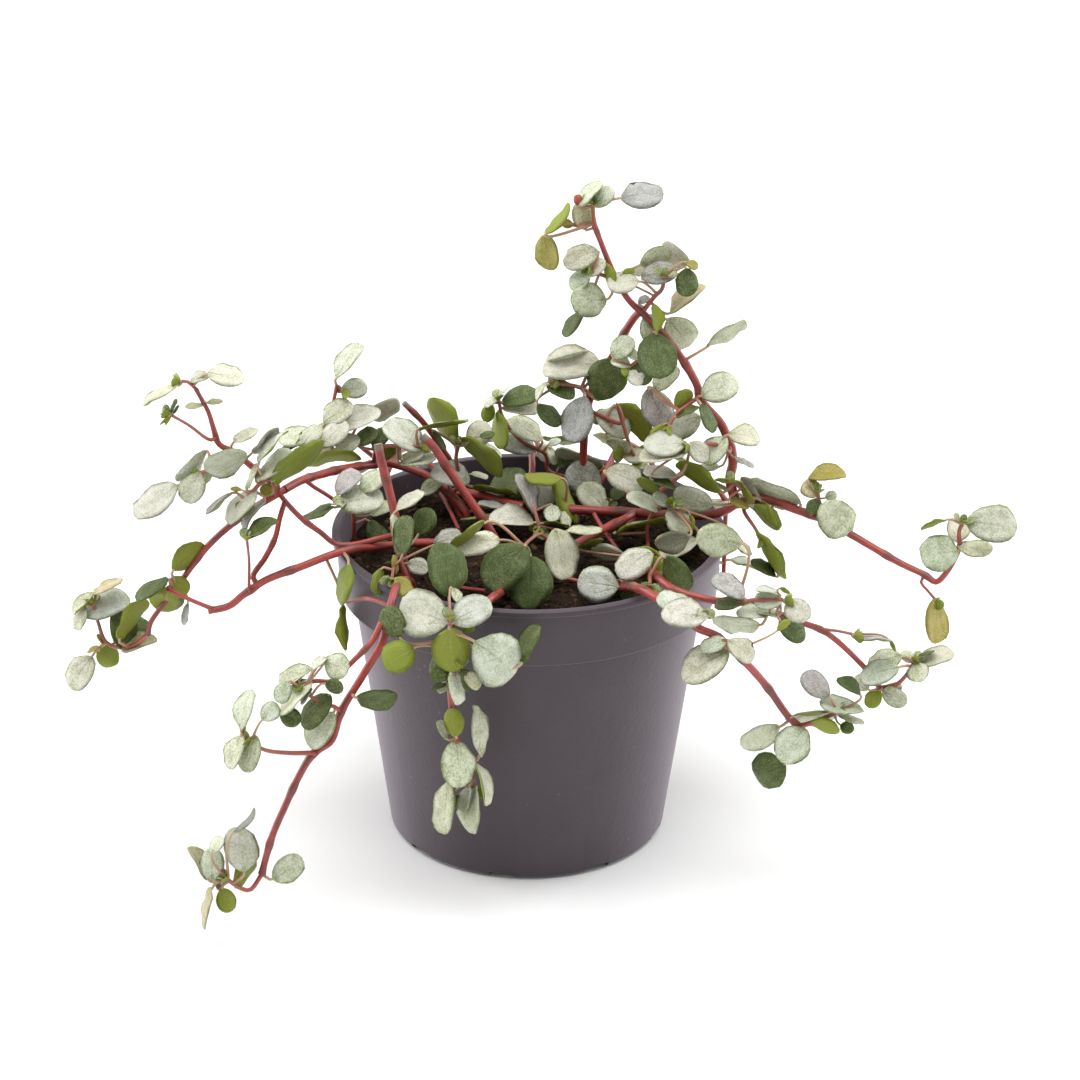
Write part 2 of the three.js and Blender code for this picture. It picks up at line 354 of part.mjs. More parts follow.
        [668, 508, 686, 532, 24, "S", 1], [690, 514, 692, 530, 5, "G"], [674, 504, 668, 499, 9, "G"],
        [660, 493, 638, 480, 12, "G", 3], [606, 471, 642, 486, 28, "W", 8], [690, 536, 657, 543, 22, "W"],
        [699, 541, 662, 556, 20, "S"], [742, 543, 699, 537, 32, "S"], [742, 541, 750, 555, 4, "M"]]},
    "sprig_inner_front": {"on": "", "radius": 0.5, "route": [
        [650, 565, -25], [650, 576, -31], [650, 585, -36]], "leaves": [
        [624, 556, 594, 548, 17, "W", 3], [652, 552, 620, 575, 28, "W"], [651, 556, 660, 573, 14, "G"],
        [665, 556, 688, 588, 26, "D", -10], [649, 580, 672, 579, 16, "D"], [649, 585, 624, 598, 30, "D"],
        [651, 586, 674, 590, 11, "W"], [578, 546, 602, 540, 8, "G", 5], [632, 550, 658, 556, 10, "G", 2]]},
    "leaf_on_soil": {"on": "stem_lower_right", "radius": 0.4, "route": [
        [622, 592, -24], [619, 587, -26]], "leaves": [
        [619, 587, 580, 582, 36, "W"]]},
    "sprig_rim_right_front": {"on": "", "radius": 0.45, "route": [
        [678, 603, -44], [690, 608, -47], [700, 612, -50]], "leaves": [
        [696, 612, 659, 598, 20, "W"], [708, 618, 664, 613, 28, "W"]]},
    "sprig_cut_left": {"on": "", "radius": 0.4, "route": [
        [398, 556, -21], [394, 566, -26], [392, 578, -31]], "leaves": [
        [397, 556, 393, 516, 11, "S"], [403, 556, 408, 518, 20, "D"], [407, 563, 427, 570, 17, "W"],
        [381, 568, 379, 594, 13, "G"], [396, 577, 412, 598, 17, "Y"], [396, 575, 394, 556, 7, "Y"],
        [418, 535, 430, 510, 22, "D", 4], [434, 545, 460, 535, 18, "M", 6], [396, 511, 423, 494, 13, "W", 4]]},
    "sprig_inner_back": {"on": "stem_tower_left", "radius": 0.45, "route": [
        [589, 505, 29], [597, 500, 26], [604, 502, 22]], "leaves": [
        [598, 493, 572, 466, 32, "M", -7], [607, 511, 580, 488, 26, "S", -5],
        [612, 500, 622, 488, 14, "D", -1]]},
};

// Shoots that hang over the back of the pot, out of the photograph's sight: degrees round from the back (+Y)
// towards +X, how far out and how far down they reach, and how many pairs of leaves they carry.
const BACK_SHOOTS = {
    "shoot_back_middle": {"round": 1, "reach": 57, "end": 34, "pairs": 6},
    "shoot_back_right": {"round": 31, "reach": 56, "end": 46, "pairs": 5},
    "shoot_back_left": {"round": -38, "reach": 56, "end": 30, "pairs": 6},
    "shoot_side_right": {"round": 60, "reach": 53, "end": 50, "pairs": 4},
};
const BACK_STEM_RADIUS = 0.85;
const BACK_STEM_ROOT = 25; // how far from the pot's axis it leaves the soil
const BACK_STEM_CREST = 78.5; // its height over the rim
const BACK_STEM_DROP = 9; // from there to its outward bend
const BACK_STEM_WANDER = 2; // how far it strays from a smooth arc
const BACK_STEM_BARE = 0.36; // part of its length, from the soil, without leaves
const BACK_LEAF_LENGTH = 10.5;
const BACK_LEAF_SHRINK = 0.05; // each pair is this part of the first shorter than the one before
const BACK_LEAF_SWEEP = 0.45; // how far a leaf points on along its stem
const BACK_LEAF_TILT = 0.7; // how far its upper side looks outwards
const BACK_PETIOLE = 2.2;

// ---------------------------------------------------------------- materials

const POT_PLASTIC = new THREE.MeshStandardMaterial({ color: 0x5c525a, roughness: 0.5, metalness: 0 });
const POTTING_SOIL = new THREE.MeshStandardMaterial({ color: 0x2a1d17, roughness: 1, metalness: 0 });
const RED_STEM = new THREE.MeshStandardMaterial({ color: 0xa8484a, roughness: 0.45, metalness: 0 });
const SILVER_LEAF = new THREE.MeshStandardMaterial({ color: 0xb4bfa2, roughness: 0.6, metalness: 0 });

// ---------------------------------------------------------------- solids

function solidOf(positions, triangles) {
    const mesh = { numProp: 3, vertProperties: new Float32Array(positions), triVerts: new Uint32Array(triangles) };
    return new wasm.Manifold(new wasm.Mesh(mesh));
}

function solidFrom(geometry) {
    geometry.deleteAttribute('normal');
    geometry.deleteAttribute('uv');
    const merged = mergeVertices(geometry);
    return solidOf(merged.attributes.position.array, merged.index.array);
}

function lathe(profile) {
    const points = profile.map(([radius, height]) => new THREE.Vector2(radius, height));
    return solidFrom(new THREE.LatheGeometry(points, POT_SEGMENTS).rotateX(Math.PI / 2));
}

function tube(curve, radius, sides, steps) {
    const section = new THREE.Shape();
    for (let side = 0; side < sides; side++) {
        const angle = (2 * Math.PI * side) / sides;
        section[side ? 'lineTo' : 'moveTo'](radius * Math.cos(angle), radius * Math.sin(angle));
    }
    return solidFrom(new THREE.ExtrudeGeometry(section, { steps, extrudePath: curve, bevelEnabled: false }));
}

// The space that a tube along the curve needs, with the gap all round it and at its ends.
function haloOf(curve, radius, sides, steps) {
    const ends = [0, 1].map((end) => {
        const { x, y, z } = curve.getPoint(end);
        return solidFrom(new THREE.IcosahedronGeometry(radius + 2 * GAP).translate(x, y, z));
    });
    return tube(curve, radius + GAP, sides, steps).add(ends[0]).add(ends[1]);
}

function largestPart(solid) {
    return solid.decompose().reduce((best, part) => (part.volume() > best.volume() ? part : best));
}

function geometryOf(solid) {
    const { vertProperties, triVerts } = solid.getMesh();
    return new THREE.BufferGeometry()
        .setAttribute('position', new THREE.BufferAttribute(vertProperties, 3))
        .setIndex(new THREE.BufferAttribute(triVerts, 1));
}

// A solid's corners on a fine grid, coincident ones made one, and the triangles that this leaves.
function meshOnGrid(solid) {
    const geometry = geometryOf(solid);
    const positions = geometry.attributes.position.array;
    positions.forEach((value, at) => { positions[at] = Math.round(value / WELD) * WELD; });
    const merged = mergeVertices(geometry, WELD / 2);
    const corners = [...merged.index.array];
    const triangles = corners.flatMap((_, at) => (at % 3 ? [] : [corners.slice(at, at + 3)]))
        .filter(([a, b, c]) => a !== b && b !== c && c !== a);
    return { positions: merged.attributes.position.array, triangles };
}

function isPinched(triangles) {
    const edges = triangles.flatMap(([a, b, c]) => [[a, b], [b, c], [c, a]].map(String));
    return new Set(edges).size < edges.length;
}

// The solid on the fine grid, or null where that leaves it pinched or in pieces.
function welded(solid) {
    const { positions, triangles } = meshOnGrid(solid);
    if (isPinched(triangles)) return null;
    const body = solidOf(positions, triangles.flat());
    return body.decompose().length === 1 && !isPinched(meshOnGrid(body).triangles) ? body : null;
}

function boxesMeet(one, other) {
    const a = one.boundingBox();
    const b = other.boundingBox();
    return [0, 1, 2].every((axis) => a.min[axis] <= b.max[axis] && b.min[axis] <= a.max[axis]);
}

function without(solid, cutters) {
    const near = cutters.filter((cutter) => boxesMeet(solid, cutter));
    const rest = largestPart(near.reduce((left, cutter) => left.subtract(cutter), solid));
    return welded(rest) ?? rest;
}

const bodies = new Map(); // node name to solid

function meetsAnother(solid, ownName) {
    return [...bodies].some(([name, other]) =>
        name !== ownName && boxesMeet(solid, other) && !solid.intersect(other).isEmpty());
}

// ---------------------------------------------------------------- pot and soil

function makePot() {
    const footOuter = BASE_RADIUS - BASE_ROUND;
    const footInner = footOuter - FOOT_RING_WIDTH;
    const floorTop = FOOT_HEIGHT + POT_FLOOR;
    const lipFoot = POT_HEIGHT - RIM_LIP;
    let pot = lathe([
        [0, FOOT_HEIGHT], [footInner, FOOT_HEIGHT], [footInner, 0], [footOuter, 0], [BASE_RADIUS, BASE_ROUND],
        [WALL_TOP_RADIUS, COLLAR_FOOT], [COLLAR_FOOT_RADIUS, COLLAR_FOOT],
        [COLLAR_TOP_RADIUS, lipFoot], [RIM_RADIUS, lipFoot], [RIM_RADIUS, POT_HEIGHT],
        [COLLAR_TOP_RADIUS - POT_WALL, POT_HEIGHT], [COLLAR_FOOT_RADIUS - POT_WALL, COLLAR_FOOT + POT_WALL],
        [WALL_TOP_RADIUS - POT_WALL, COLLAR_FOOT + POT_WALL], [BASE_RADIUS - POT_WALL, floorTop], [0, floorTop],
    ]);
    for (let notch = 0; notch < NOTCH_COUNT; notch++) {
        const round = THREE.MathUtils.degToRad(NOTCH_FIRST - 90 + (360 / NOTCH_COUNT) * notch);
        const cutter = new THREE.BoxGeometry(FOOT_RING_WIDTH * 4, NOTCH_WIDTH, FOOT_HEIGHT * 2);
        pot = pot.subtract(solidFrom(cutter.translate(footOuter, 0, 0).rotateZ(round)));
    }
    for (let drain = 0; drain < DRAIN_COUNT; drain++) {
        const round = (2 * Math.PI * drain) / DRAIN_COUNT;
        const cutter = new THREE.CylinderGeometry(DRAIN_RADIUS, DRAIN_RADIUS, POT_FLOOR * 4, DRAIN_SIDES);
        cutter.rotateX(Math.PI / 2).translate(DRAIN_CIRCLE, 0, FOOT_HEIGHT + POT_FLOOR / 2).rotateZ(round);
        pot = pot.subtract(solidFrom(cutter));
    }
    return pot;
}

function makeSoil() {
    const inset = POT_WALL + SOIL_CLEARANCE;
    const foot = FOOT_HEIGHT + POT_FLOOR + GAP;
    const step = COLLAR_FOOT + POT_WALL + GAP;
    return lathe([
        [0, foot], [BASE_RADIUS - inset, foot], [WALL_TOP_RADIUS - inset, step], [COLLAR_FOOT_RADIUS - inset, step],
        [COLLAR_FOOT_RADIUS - inset, SOIL_TOP], [0, SOIL_TOP],
    ]);
}

bodies.set('pot', makePot());
bodies.set('soil', makeSoil());

// ---------------------------------------------------------------- stems and twigs

const stemCurves = new Map();
const twigCurves = new Map();
const parentStems = new Map(); // sprig name to the stem nearest to its start
const halos = []; // each stem's or twig's body, and the space that other bodies leave round it

const soilHalo = solidFrom(
    new THREE.CylinderGeometry(COLLAR_FOOT_RADIUS, COLLAR_FOOT_RADIUS, SOIL_TOP + GAP, STEM_SIDES * 4)
        .rotateX(Math.PI / 2).translate(0, 0, (SOIL_TOP + GAP) / 2));

function halosAround(ownName) {
    return halos.filter(({ bodyName }) => bodyName !== ownName).map(({ halo }) => halo);
}

function isRooted(point) {
    return Math.hypot(point.x, point.y) < WALL_TOP_RADIUS && point.z < SOIL_TOP + ROOTING;
}

function nearestPoint(points, target) {
    return points.reduce((best, point) => (point.distanceTo(target) < best.distanceTo(target) ? point : best));
}

function nearestStem(target) {
    return [...stemCurves].map(([name, curve]) => {
        const root = nearestPoint(curve.getPoints(CURVE_SAMPLES), target);
        return { name, root, distance: root.distanceTo(target) };
    }).reduce((best, stem) => (stem.distance < best.distance ? stem : best), { distance: Infinity });
}

// A route that starts low in the pot grows from the soil; any other one grows from the nearest earlier stem.
function curveAlong(route) {
    const points = route.map(([u, v, depth]) => seen(u, v, depth));
    const start = points[0];
    const { root, distance } = nearestStem(start);
    if (isRooted(start)) {
        points.unshift(new THREE.Vector3(start.x, start.y, SOIL_TOP - ROOT_DEPTH));
    } else {
        if (distance < ROOTING) points.shift();
        if (root) points.unshift(root);
    }
    return new THREE.CatmullRomCurve3(points, false, 'centripetal');
}

for (const [name, { radius, route }] of Object.entries(STEMS)) {
    const curve = curveAlong(route);
    const thickness = (radius[0] + radius[1]) / 2;
    const steps = Math.max(3, Math.round(curve.getLength() / STEM_STEP));
    bodies.set(name, without(tube(curve, thickness, STEM_SIDES, steps), [soilHalo, ...halosAround(name)]));
    halos.push({ bodyName: name, halo: haloOf(curve, thickness, STEM_SIDES, steps) });
    stemCurves.set(name, curve);
}

for (const [name, { on, radius, route }] of Object.entries(SPRIGS)) {
    const curve = curveAlong(route);
    const steps = Math.max(2, Math.round(curve.getLength() / TWIG_STEP));
    const bodyName = on || name;
    const twig = without(tube(curve, radius, TWIG_SIDES, steps), [soilHalo, ...halosAround(bodyName)]);
    bodies.set(bodyName, on ? bodies.get(on).add(twig) : twig);
    halos.push({ bodyName, halo: haloOf(curve, radius, TWIG_SIDES, steps) });
    twigCurves.set(name, curve);
    parentStems.set(name, nearestStem(curve.getPoint(0)).name);
}

// ---------------------------------------------------------------- leaves

// How a leaf lies, from its outline in the photograph: one that looks broad for its length is tipped towards or
// away from the eye, one that looks narrow is rolled about its own length, and in both cases the way that
// turns its upper side to the sky. Its base is taken to be as deep as the twig that it grows from.
function leafFrame([baseU, baseV, tipU, tipV, shownWidth, look, behind = 0], depth, lean) {
    const base = seen(baseU, baseV, depth + behind);
    const sight = base.clone().sub(EYE);
    const distance = sight.length();
    sight.normalize();
    const tipLine = sightLine(tipU, tipV);
    const along = EYE.clone().addScaledVector(tipLine, distance / tipLine.dot(sight)).sub(base);
    const apparentLength = along.length();
    const apparentWidth = (shownWidth * distance) / FOCAL_LENGTH;
    along.normalize();
    const across = new THREE.Vector3().crossVectors(along, sight);
    const skyward = look === 'G' ? -1 : 1;
    const length = Math.max(apparentLength, apparentWidth / LEAF_SHAPE);
    const width = length * LEAF_SHAPE;
    const tipping = Math.sqrt(1 - (apparentLength / length) ** 2) * Math.sign(along.z) * skyward * lean;
    const rolling = Math.sqrt(Math.max(0, 1 - (apparentWidth / width) ** 2)) * Math.sign(across.z) * skyward * lean;
    const axis = along.clone().multiplyScalar(apparentLength / length).addScaledVector(sight, tipping);
    const side = across.multiplyScalar(Math.min(1, apparentWidth / width)).addScaledVector(sight, rolling);
    const normal = new THREE.Vector3().crossVectors(axis, side);
    if (normal.dot(sight) * skyward > 0) {
        normal.negate();
        side.negate();
    }
    return { base, axis, side, normal, length, width, shift: sight };
}

// A blade is a thin lens on an outline with two corners at its foot. A leaf close to its twig tapers straight into
// it; any other has a three-sided petiole from its foot to the twig.
function leafSolid({ base, axis, side, normal, length, width }, anchor, grow = 0) {
    const place = (along, across, above = 0) => base.clone()
        .addScaledVector(axis, along * length).addScaledVector(side, across * width).addScaledVector(normal, above);
    const longer = grow / length;
    const wider = grow / width;
    const acrossFoot = (ratio) => side.clone().multiplyScalar(ratio * PETIOLE_RADIUS + grow);
    const belowFoot = (ratio) => normal.clone().multiplyScalar(-PETIOLE_DEPTH * (ratio * PETIOLE_RADIUS + grow));
    const reach = base.clone().sub(anchor);
    const isClose = reach.length() < LONGEST_TAPER && Math.abs(reach.dot(side)) < TAPER_ASIDE * width;
    const foot = isClose ? anchor : place(-longer, 0);
    const footRatio = isClose ? FOOT_IN_TWIG : 1;
    const shoulders = length < SMALL_LEAF ? SMALL_LEAF_SHOULDERS : LEAF_SHOULDERS;
    const corners = [
        place(1 + longer, 0), ...shoulders.map(([along, across]) => place(along, across + wider)),
        foot.clone().add(acrossFoot(footRatio)), foot.clone().sub(acrossFoot(footRatio)),
        ...shoulders.toReversed().map(([along, across]) => place(along, -across - wider)),
    ];
    const crown = LEAF_THICKNESS / 2 + grow;
    const top = corners.length;
    const bottom = top + 1;
    const left = shoulders.length + 1; // the two corners at the foot
    const right = left + 1;
    const points = [...corners, place(LEAF_CROWN, 0, crown), place(LEAF_CROWN, 0, -crown)];
    const triangles = corners.flatMap((_, corner) => {
        const next = (corner + 1) % corners.length;
        return !isClose && corner === left ? [top, corner, next] : [top, corner, next, bottom, next, corner];
    });
    if (!isClose) {
        points.push(
            foot.clone().add(belowFoot(1)), anchor.clone().add(acrossFoot(FOOT_IN_TWIG)),
            anchor.clone().sub(acrossFoot(FOOT_IN_TWIG)), anchor.clone().add(belowFoot(FOOT_IN_TWIG)));
        const [under, endLeft, endRight, endUnder] = [2, 3, 4, 5].map((place) => top + place);
        triangles.push(bottom, right, under, bottom, under, left);
        triangles.push(left, endLeft, endRight, left, endRight, right);
        triangles.push(right, endRight, endUnder, right, endUnder, under);
        triangles.push(under, endUnder, endLeft, under, endLeft, left);
        triangles.push(endLeft, endUnder, endRight);
    }
    return solidOf(points.flatMap((point) => point.toArray()), triangles);
}

const blades = new Map(); // node name to the blades that it already carries

// Each candidate is a way for a leaf to lie: its body, its frame and its anchor on that body. Every one is tried
// where it stands and a little nearer to the eye or farther away, until it meets no other piece, first without
// and then with leaves of its own body in its way.
function addLeaf(candidates) {
    if (candidates[0].frame.length < SHORTEST_LEAF) return;
    for (const shy of [true, false]) {
        for (const { bodyName, frame, anchor } of candidates) {
            const siblings = shy ? blades.get(bodyName) ?? [] : [];
            for (const step of LEAF_SHIFTS) {
                const leaf = { ...frame, base: frame.base.clone().addScaledVector(frame.shift, step) };
                const blade = leafSolid(leaf, leaf.base);
                if (siblings.some((other) => boxesMeet(blade, other) && !blade.intersect(other).isEmpty())) continue;
                if ([GAP, 0].some((grow) => meetsAnother(leafSolid(leaf, anchor, grow), bodyName))) continue;
                const joined = welded(bodies.get(bodyName).add(leafSolid(leaf, anchor)));
                if (!joined) continue;
                bodies.set(bodyName, joined);
                blades.set(bodyName, [...(blades.get(bodyName) ?? []), blade]);
                return;
            }
        }
    }
}

function shownAt(point) {
    const line = point.clone().sub(EYE);
    return new THREE.Vector2(line.dot(RIGHT), line.dot(UP)).divideScalar(line.dot(FORWARD));
}

function shownNearest(points, pixel) {
    const target = shownAt(seen(pixel[0], pixel[1], 0));
    return points.reduce((best, point) =>
        (shownAt(point).distanceTo(target) < shownAt(best).distanceTo(target) ? point : best));
}

// The points of a stem's or a twig's curve that its own body has kept.
function keptPoints(curve, bodyName) {
    return curve.getPoints(CURVE_SAMPLES).filter((point) => {
        const probe = new THREE.OctahedronGeometry(GAP / 3).translate(point.x, point.y, point.z);
        return solidFrom(probe).subtract(bodies.get(bodyName)).isEmpty();
    });
}

// A leaf grows from its sprig's twig or, where that is far off or something is in the way, from the stem that the
// sprig grows from.
for (const [name, { on, leaves }] of Object.entries(SPRIGS)) {
    const twigBody = on || name;
    const twigPoints = keptPoints(twigCurves.get(name), twigBody);
    const stem = on || parentStems.get(name);
    const stemPoints = keptPoints(stemCurves.get(stem), stem);
    for (const leaf of leaves) {
        const candidates = [[twigBody, twigPoints], [stem, stemPoints]].flatMap(([bodyName, points]) => {
            const anchor = shownNearest(points, leaf);
            return [1, -1].map((lean) => ({ bodyName, anchor, frame: leafFrame(leaf, anchor.y, lean) }));
        });
        const petioles = candidates.map(({ frame, anchor }) => frame.base.distanceTo(anchor));
        if (petioles[0] > LONGEST_PETIOLE && petioles[2] < petioles[0]) candidates.reverse();
        addLeaf(candidates);
    }
}

// ---------------------------------------------------------------- shoots at the back

function backShoot(name, { round, reach, end, pairs }) {
    const turn = THREE.MathUtils.degToRad(90 - round);
    const outward = new THREE.Vector3(Math.cos(turn), Math.sin(turn), 0);
    const sideways = new THREE.Vector3(-Math.sin(turn), Math.cos(turn), 0);
    const at = (radius, height, aside = 0) => outward.clone()
        .multiplyScalar(radius).addScaledVector(sideways, aside).setZ(height);
    const curve = new THREE.CatmullRomCurve3([
        at(BACK_STEM_ROOT, SOIL_TOP - ROOT_DEPTH),
        at((BACK_STEM_ROOT + RIM_RADIUS) / 2, (SOIL_TOP + BACK_STEM_CREST) / 2 + BACK_STEM_WANDER),
        at(RIM_RADIUS, BACK_STEM_CREST, BACK_STEM_WANDER / 2),
        at(reach, BACK_STEM_CREST - BACK_STEM_DROP, -BACK_STEM_WANDER / 2),
        at(reach + BACK_STEM_WANDER, (BACK_STEM_CREST + end) / 2, BACK_STEM_WANDER),
        at(reach, end, -BACK_STEM_WANDER / 2),
    ], false, 'centripetal');
    const steps = Math.round(curve.getLength() / STEM_STEP);
    bodies.set(name, without(tube(curve, BACK_STEM_RADIUS, STEM_SIDES, steps), [soilHalo, ...halosAround(name)]));
    halos.push({ bodyName: name, halo: haloOf(curve, BACK_STEM_RADIUS, STEM_SIDES, steps) });
    for (let pair = 0; pair < pairs; pair++) {
        const part = BACK_STEM_BARE + (1 - BACK_STEM_BARE) * (pair + 0.5) / pairs;
        const anchor = curve.getPointAt(part);
        const along = curve.getTangentAt(part);
        const sky = UPWARD.clone().addScaledVector(outward, BACK_LEAF_TILT);
        for (const hand of [-1, 1]) {
            const spread = (pair % 2 ? outward : sideways).clone().multiplyScalar(hand);
            const axis = spread.addScaledVector(along, BACK_LEAF_SWEEP).normalize();
            const normal = sky.clone().addScaledVector(axis, -sky.dot(axis)).normalize();
            const side = new THREE.Vector3().crossVectors(normal, axis);
            const base = anchor.clone().addScaledVector(axis, BACK_PETIOLE);
            const length = BACK_LEAF_LENGTH * (1 - BACK_LEAF_SHRINK * pair);
            const frame = { base, axis, side, normal, length, width: length * LEAF_SHAPE, shift: outward };
            addLeaf([{ bodyName: name, frame, anchor }]);
        }
    }
}

for (const [name, shape] of Object.entries(BACK_SHOOTS)) backShoot(name, shape);

// ---------------------------------------------------------------- the plant

const plant = new THREE.Group();

for (const [name, solid] of bodies) {
    const geometry = geometryOf(solid);
    geometry.computeVertexNormals();
    const material = { pot: POT_PLASTIC, soil: POTTING_SOIL }[name] ?? (name in STEMS ? RED_STEM : SILVER_LEAF);
    const mesh = new THREE.Mesh(geometry, material);
    mesh.name = name;
    plant.add(mesh);
}

export default plant;
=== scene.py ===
# %% [markdown]
# # A trailing silver-leaved pilea in a nursery pot
# The plant is a thin plastic pot, a bed of peat, red wiry stems that arch over the rim, and nearly six
# hundred small fleshy leaves frosted with silver. The solid model gives every piece its place. This script
# gives every piece its looks, and it starts by loading that model as a frame that is never moved.

# %% Load the frame
import json
import math
import random

import bmesh
import bpy
import numpy as np
from mathutils import Matrix, Vector, noise
from mathutils.kdtree import KDTree

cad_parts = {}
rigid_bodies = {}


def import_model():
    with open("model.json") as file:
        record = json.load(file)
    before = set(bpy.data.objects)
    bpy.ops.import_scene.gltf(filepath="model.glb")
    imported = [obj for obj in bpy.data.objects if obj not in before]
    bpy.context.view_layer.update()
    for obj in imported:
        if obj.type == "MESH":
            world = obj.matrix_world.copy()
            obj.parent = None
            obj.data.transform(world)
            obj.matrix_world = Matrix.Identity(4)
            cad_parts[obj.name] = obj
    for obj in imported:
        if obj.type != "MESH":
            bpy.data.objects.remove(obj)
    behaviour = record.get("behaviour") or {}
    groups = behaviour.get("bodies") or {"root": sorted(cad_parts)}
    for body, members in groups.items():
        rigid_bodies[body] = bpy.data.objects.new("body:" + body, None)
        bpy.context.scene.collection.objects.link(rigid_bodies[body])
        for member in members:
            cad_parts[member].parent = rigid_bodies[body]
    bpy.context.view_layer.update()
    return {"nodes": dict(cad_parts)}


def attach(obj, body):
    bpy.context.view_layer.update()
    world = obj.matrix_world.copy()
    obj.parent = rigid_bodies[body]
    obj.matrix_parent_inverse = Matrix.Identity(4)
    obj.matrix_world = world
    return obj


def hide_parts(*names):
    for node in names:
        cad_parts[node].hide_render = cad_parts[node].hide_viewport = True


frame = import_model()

# %% [markdown]
# ## Sums in a node tree
# Shader and geometry trees both do their arithmetic in Math and Vector Math nodes. Placing them one at a
# time hides the formula, so a small class wraps an output socket and turns Python's own operators into
# those nodes. One method makes any other node: its settings are set first, because they decide which
# sockets it has.

# %% A wrapper for sockets
class Wire:
    """A node's output that can be added, multiplied and so on in a Python expression."""

    def __init__(self, tree, socket):
        self.tree = tree
        self.socket = socket

    def is_vector(self):
        return self.socket.type == "VECTOR"

    def sum_of(self, operation, first, second):
        values = (first, second)
        vectors = [isinstance(x, tuple) or isinstance(x, Wire) and x.is_vector() for x in values]
        if operation == "MULTIPLY" and any(vectors) and not all(vectors):
            vector, number = values if vectors[0] else values[::-1]
            return self.tree.node("ShaderNodeVectorMath", {"operation": "SCALE"}, {0: vector, 3: number})
        kind = "ShaderNodeVectorMath" if any(vectors) else "ShaderNodeMath"
        return self.tree.node(kind, {"operation": operation}, {0: first, 1: second})

    def __add__(self, other):
        return self.sum_of("ADD", self, other)

    def __radd__(self, other):
        return self.sum_of("ADD", other, self)

    def __sub__(self, other):
        return self.sum_of("SUBTRACT", self, other)

    def __rsub__(self, other):
        return self.sum_of("SUBTRACT", other, self)

    def __mul__(self, other):
        return self.sum_of("MULTIPLY", self, other)

    def __rmul__(self, other):
        return self.sum_of("MULTIPLY", other, self)

    def __truediv__(self, other):
        return self.sum_of("DIVIDE", self, other)

    def __pow__(self, other):
        return self.sum_of("POWER", self, other)

    def __abs__(self):
        return self.tree.node("ShaderNodeMath", {"operation": "ABSOLUTE"}, {0: self})

    def least(self, other):
        return self.sum_of("MINIMUM", self, other)

    def most(self, other):
        return self.sum_of("MAXIMUM", self, other)

    def held(self):
        return self.most(0.0).least(1.0)

    def rise(self, low, high):
        """0 below low, 1 above high, and a smooth step between them. With low over high it falls instead."""
        share = ((self - low) / (high - low)).held()
        return share * share * (3.0 - 2.0 * share)

    def parts(self):
        return [self.tree.node("ShaderNodeSeparateXYZ", {}, {0: self}, out) for out in range(3)]


print("outputs can be added and multiplied")

# %% A wrapper for trees
class Tree:
    """A node tree that makes its nodes from expressions."""

    def __init__(self, tree):
        self.tree = tree

    def node(self, kind, settings=None, inputs=None, out=0):
        made = self.tree.nodes.new(kind)
        for name, value in (settings or {}).items():
            setattr(made, name, value)
        for name, value in (inputs or {}).items():
            if isinstance(value, Wire):
                self.tree.links.new(value.socket, made.inputs[name])
            else:
                made.inputs[name].default_value = value
        return Wire(self, made.outputs[out])

    def mix(self, factor, first, second):
        return self.node("ShaderNodeMix", {"data_type": "RGBA"}, {0: factor, 6: first, 7: second}, 2)

    def kept(self, name, out=2):
        """What a piece keeps under a name, in its shader. Output 0 is a colour, 1 a vector and 2 a number."""
        return self.node("ShaderNodeAttribute", {"attribute_name": name}, {}, out)

    def object_place(self):
        return self.node("ShaderNodeTexCoord", {}, {}, 3)

    def stored(self, name, data_type="FLOAT"):
        return self.node("GeometryNodeInputNamedAttribute", {"data_type": data_type}, {"Name": name})

    def keep(self, geometry, name, value, data_type="FLOAT", domain="POINT"):
        """Stores a value on the geometry under a name, for the shader to read."""
        return self.node("GeometryNodeStoreNamedAttribute", {"data_type": data_type, "domain": domain},
                         {"Geometry": geometry, "Name": name, "Value": value})


print("trees can make nodes")

# %% [markdown]
# ## The camera
# The photograph looks slightly down at the pot from far away, so a long lens stands well back. The stems
# and leaves below are given as the photograph's pixels with a depth, and the same numbers turn them into
# places.

# %% Camera and lines of sight
MM = 0.001
PICTURE = 1080  # pixels, width and height
FOCAL = 3285  # pixels
SENSOR = 36  # millimetres
CLIP = (0.05, 20)  # metres
EYE = np.array([0, -685.2, 377.2])  # millimetres
DIP, TURN, ROLL = (math.radians(angle) for angle in (24.1, 0.21, 0.5))  # degrees
RIGHT = np.array([math.cos(TURN), -math.sin(TURN), 0])
AHEAD = np.array([math.sin(TURN) * math.cos(DIP), math.cos(TURN) * math.cos(DIP), -math.sin(DIP)])
UP = np.cross(RIGHT, AHEAD)
CAMERA_X = RIGHT * math.cos(ROLL) + UP * math.sin(ROLL)
CAMERA_Y = UP * math.cos(ROLL) - RIGHT * math.sin(ROLL)


def placed(name, data):
    """A new object in the scene."""
    made = bpy.data.objects.new(name, data)
    bpy.context.scene.collection.objects.link(made)
    return made


camera_data = bpy.data.cameras.new("camera")
camera_data.sensor_width = SENSOR
camera_data.lens = SENSOR * FOCAL / PICTURE
camera_data.clip_start, camera_data.clip_end = CLIP
camera = placed("camera", camera_data)
camera.matrix_world = Matrix.Translation(Vector(EYE * MM)) @ Matrix(
    np.column_stack([CAMERA_X, CAMERA_Y, -AHEAD]).tolist()).to_4x4()
bpy.context.scene.camera = camera


def unit(vector):
    return vector / np.linalg.norm(vector, axis=-1, keepdims=True)


def sight_line(u, v):
    return unit(AHEAD * FOCAL + CAMERA_X * (u - PICTURE / 2) + CAMERA_Y * (PICTURE / 2 - v))


def seen(u, v, depth):
    """The place, in millimetres, that shows at pixel u, v with its y at depth."""
    line = sight_line(u, v)
    return EYE + line * ((depth - EYE[1]) / line[1])


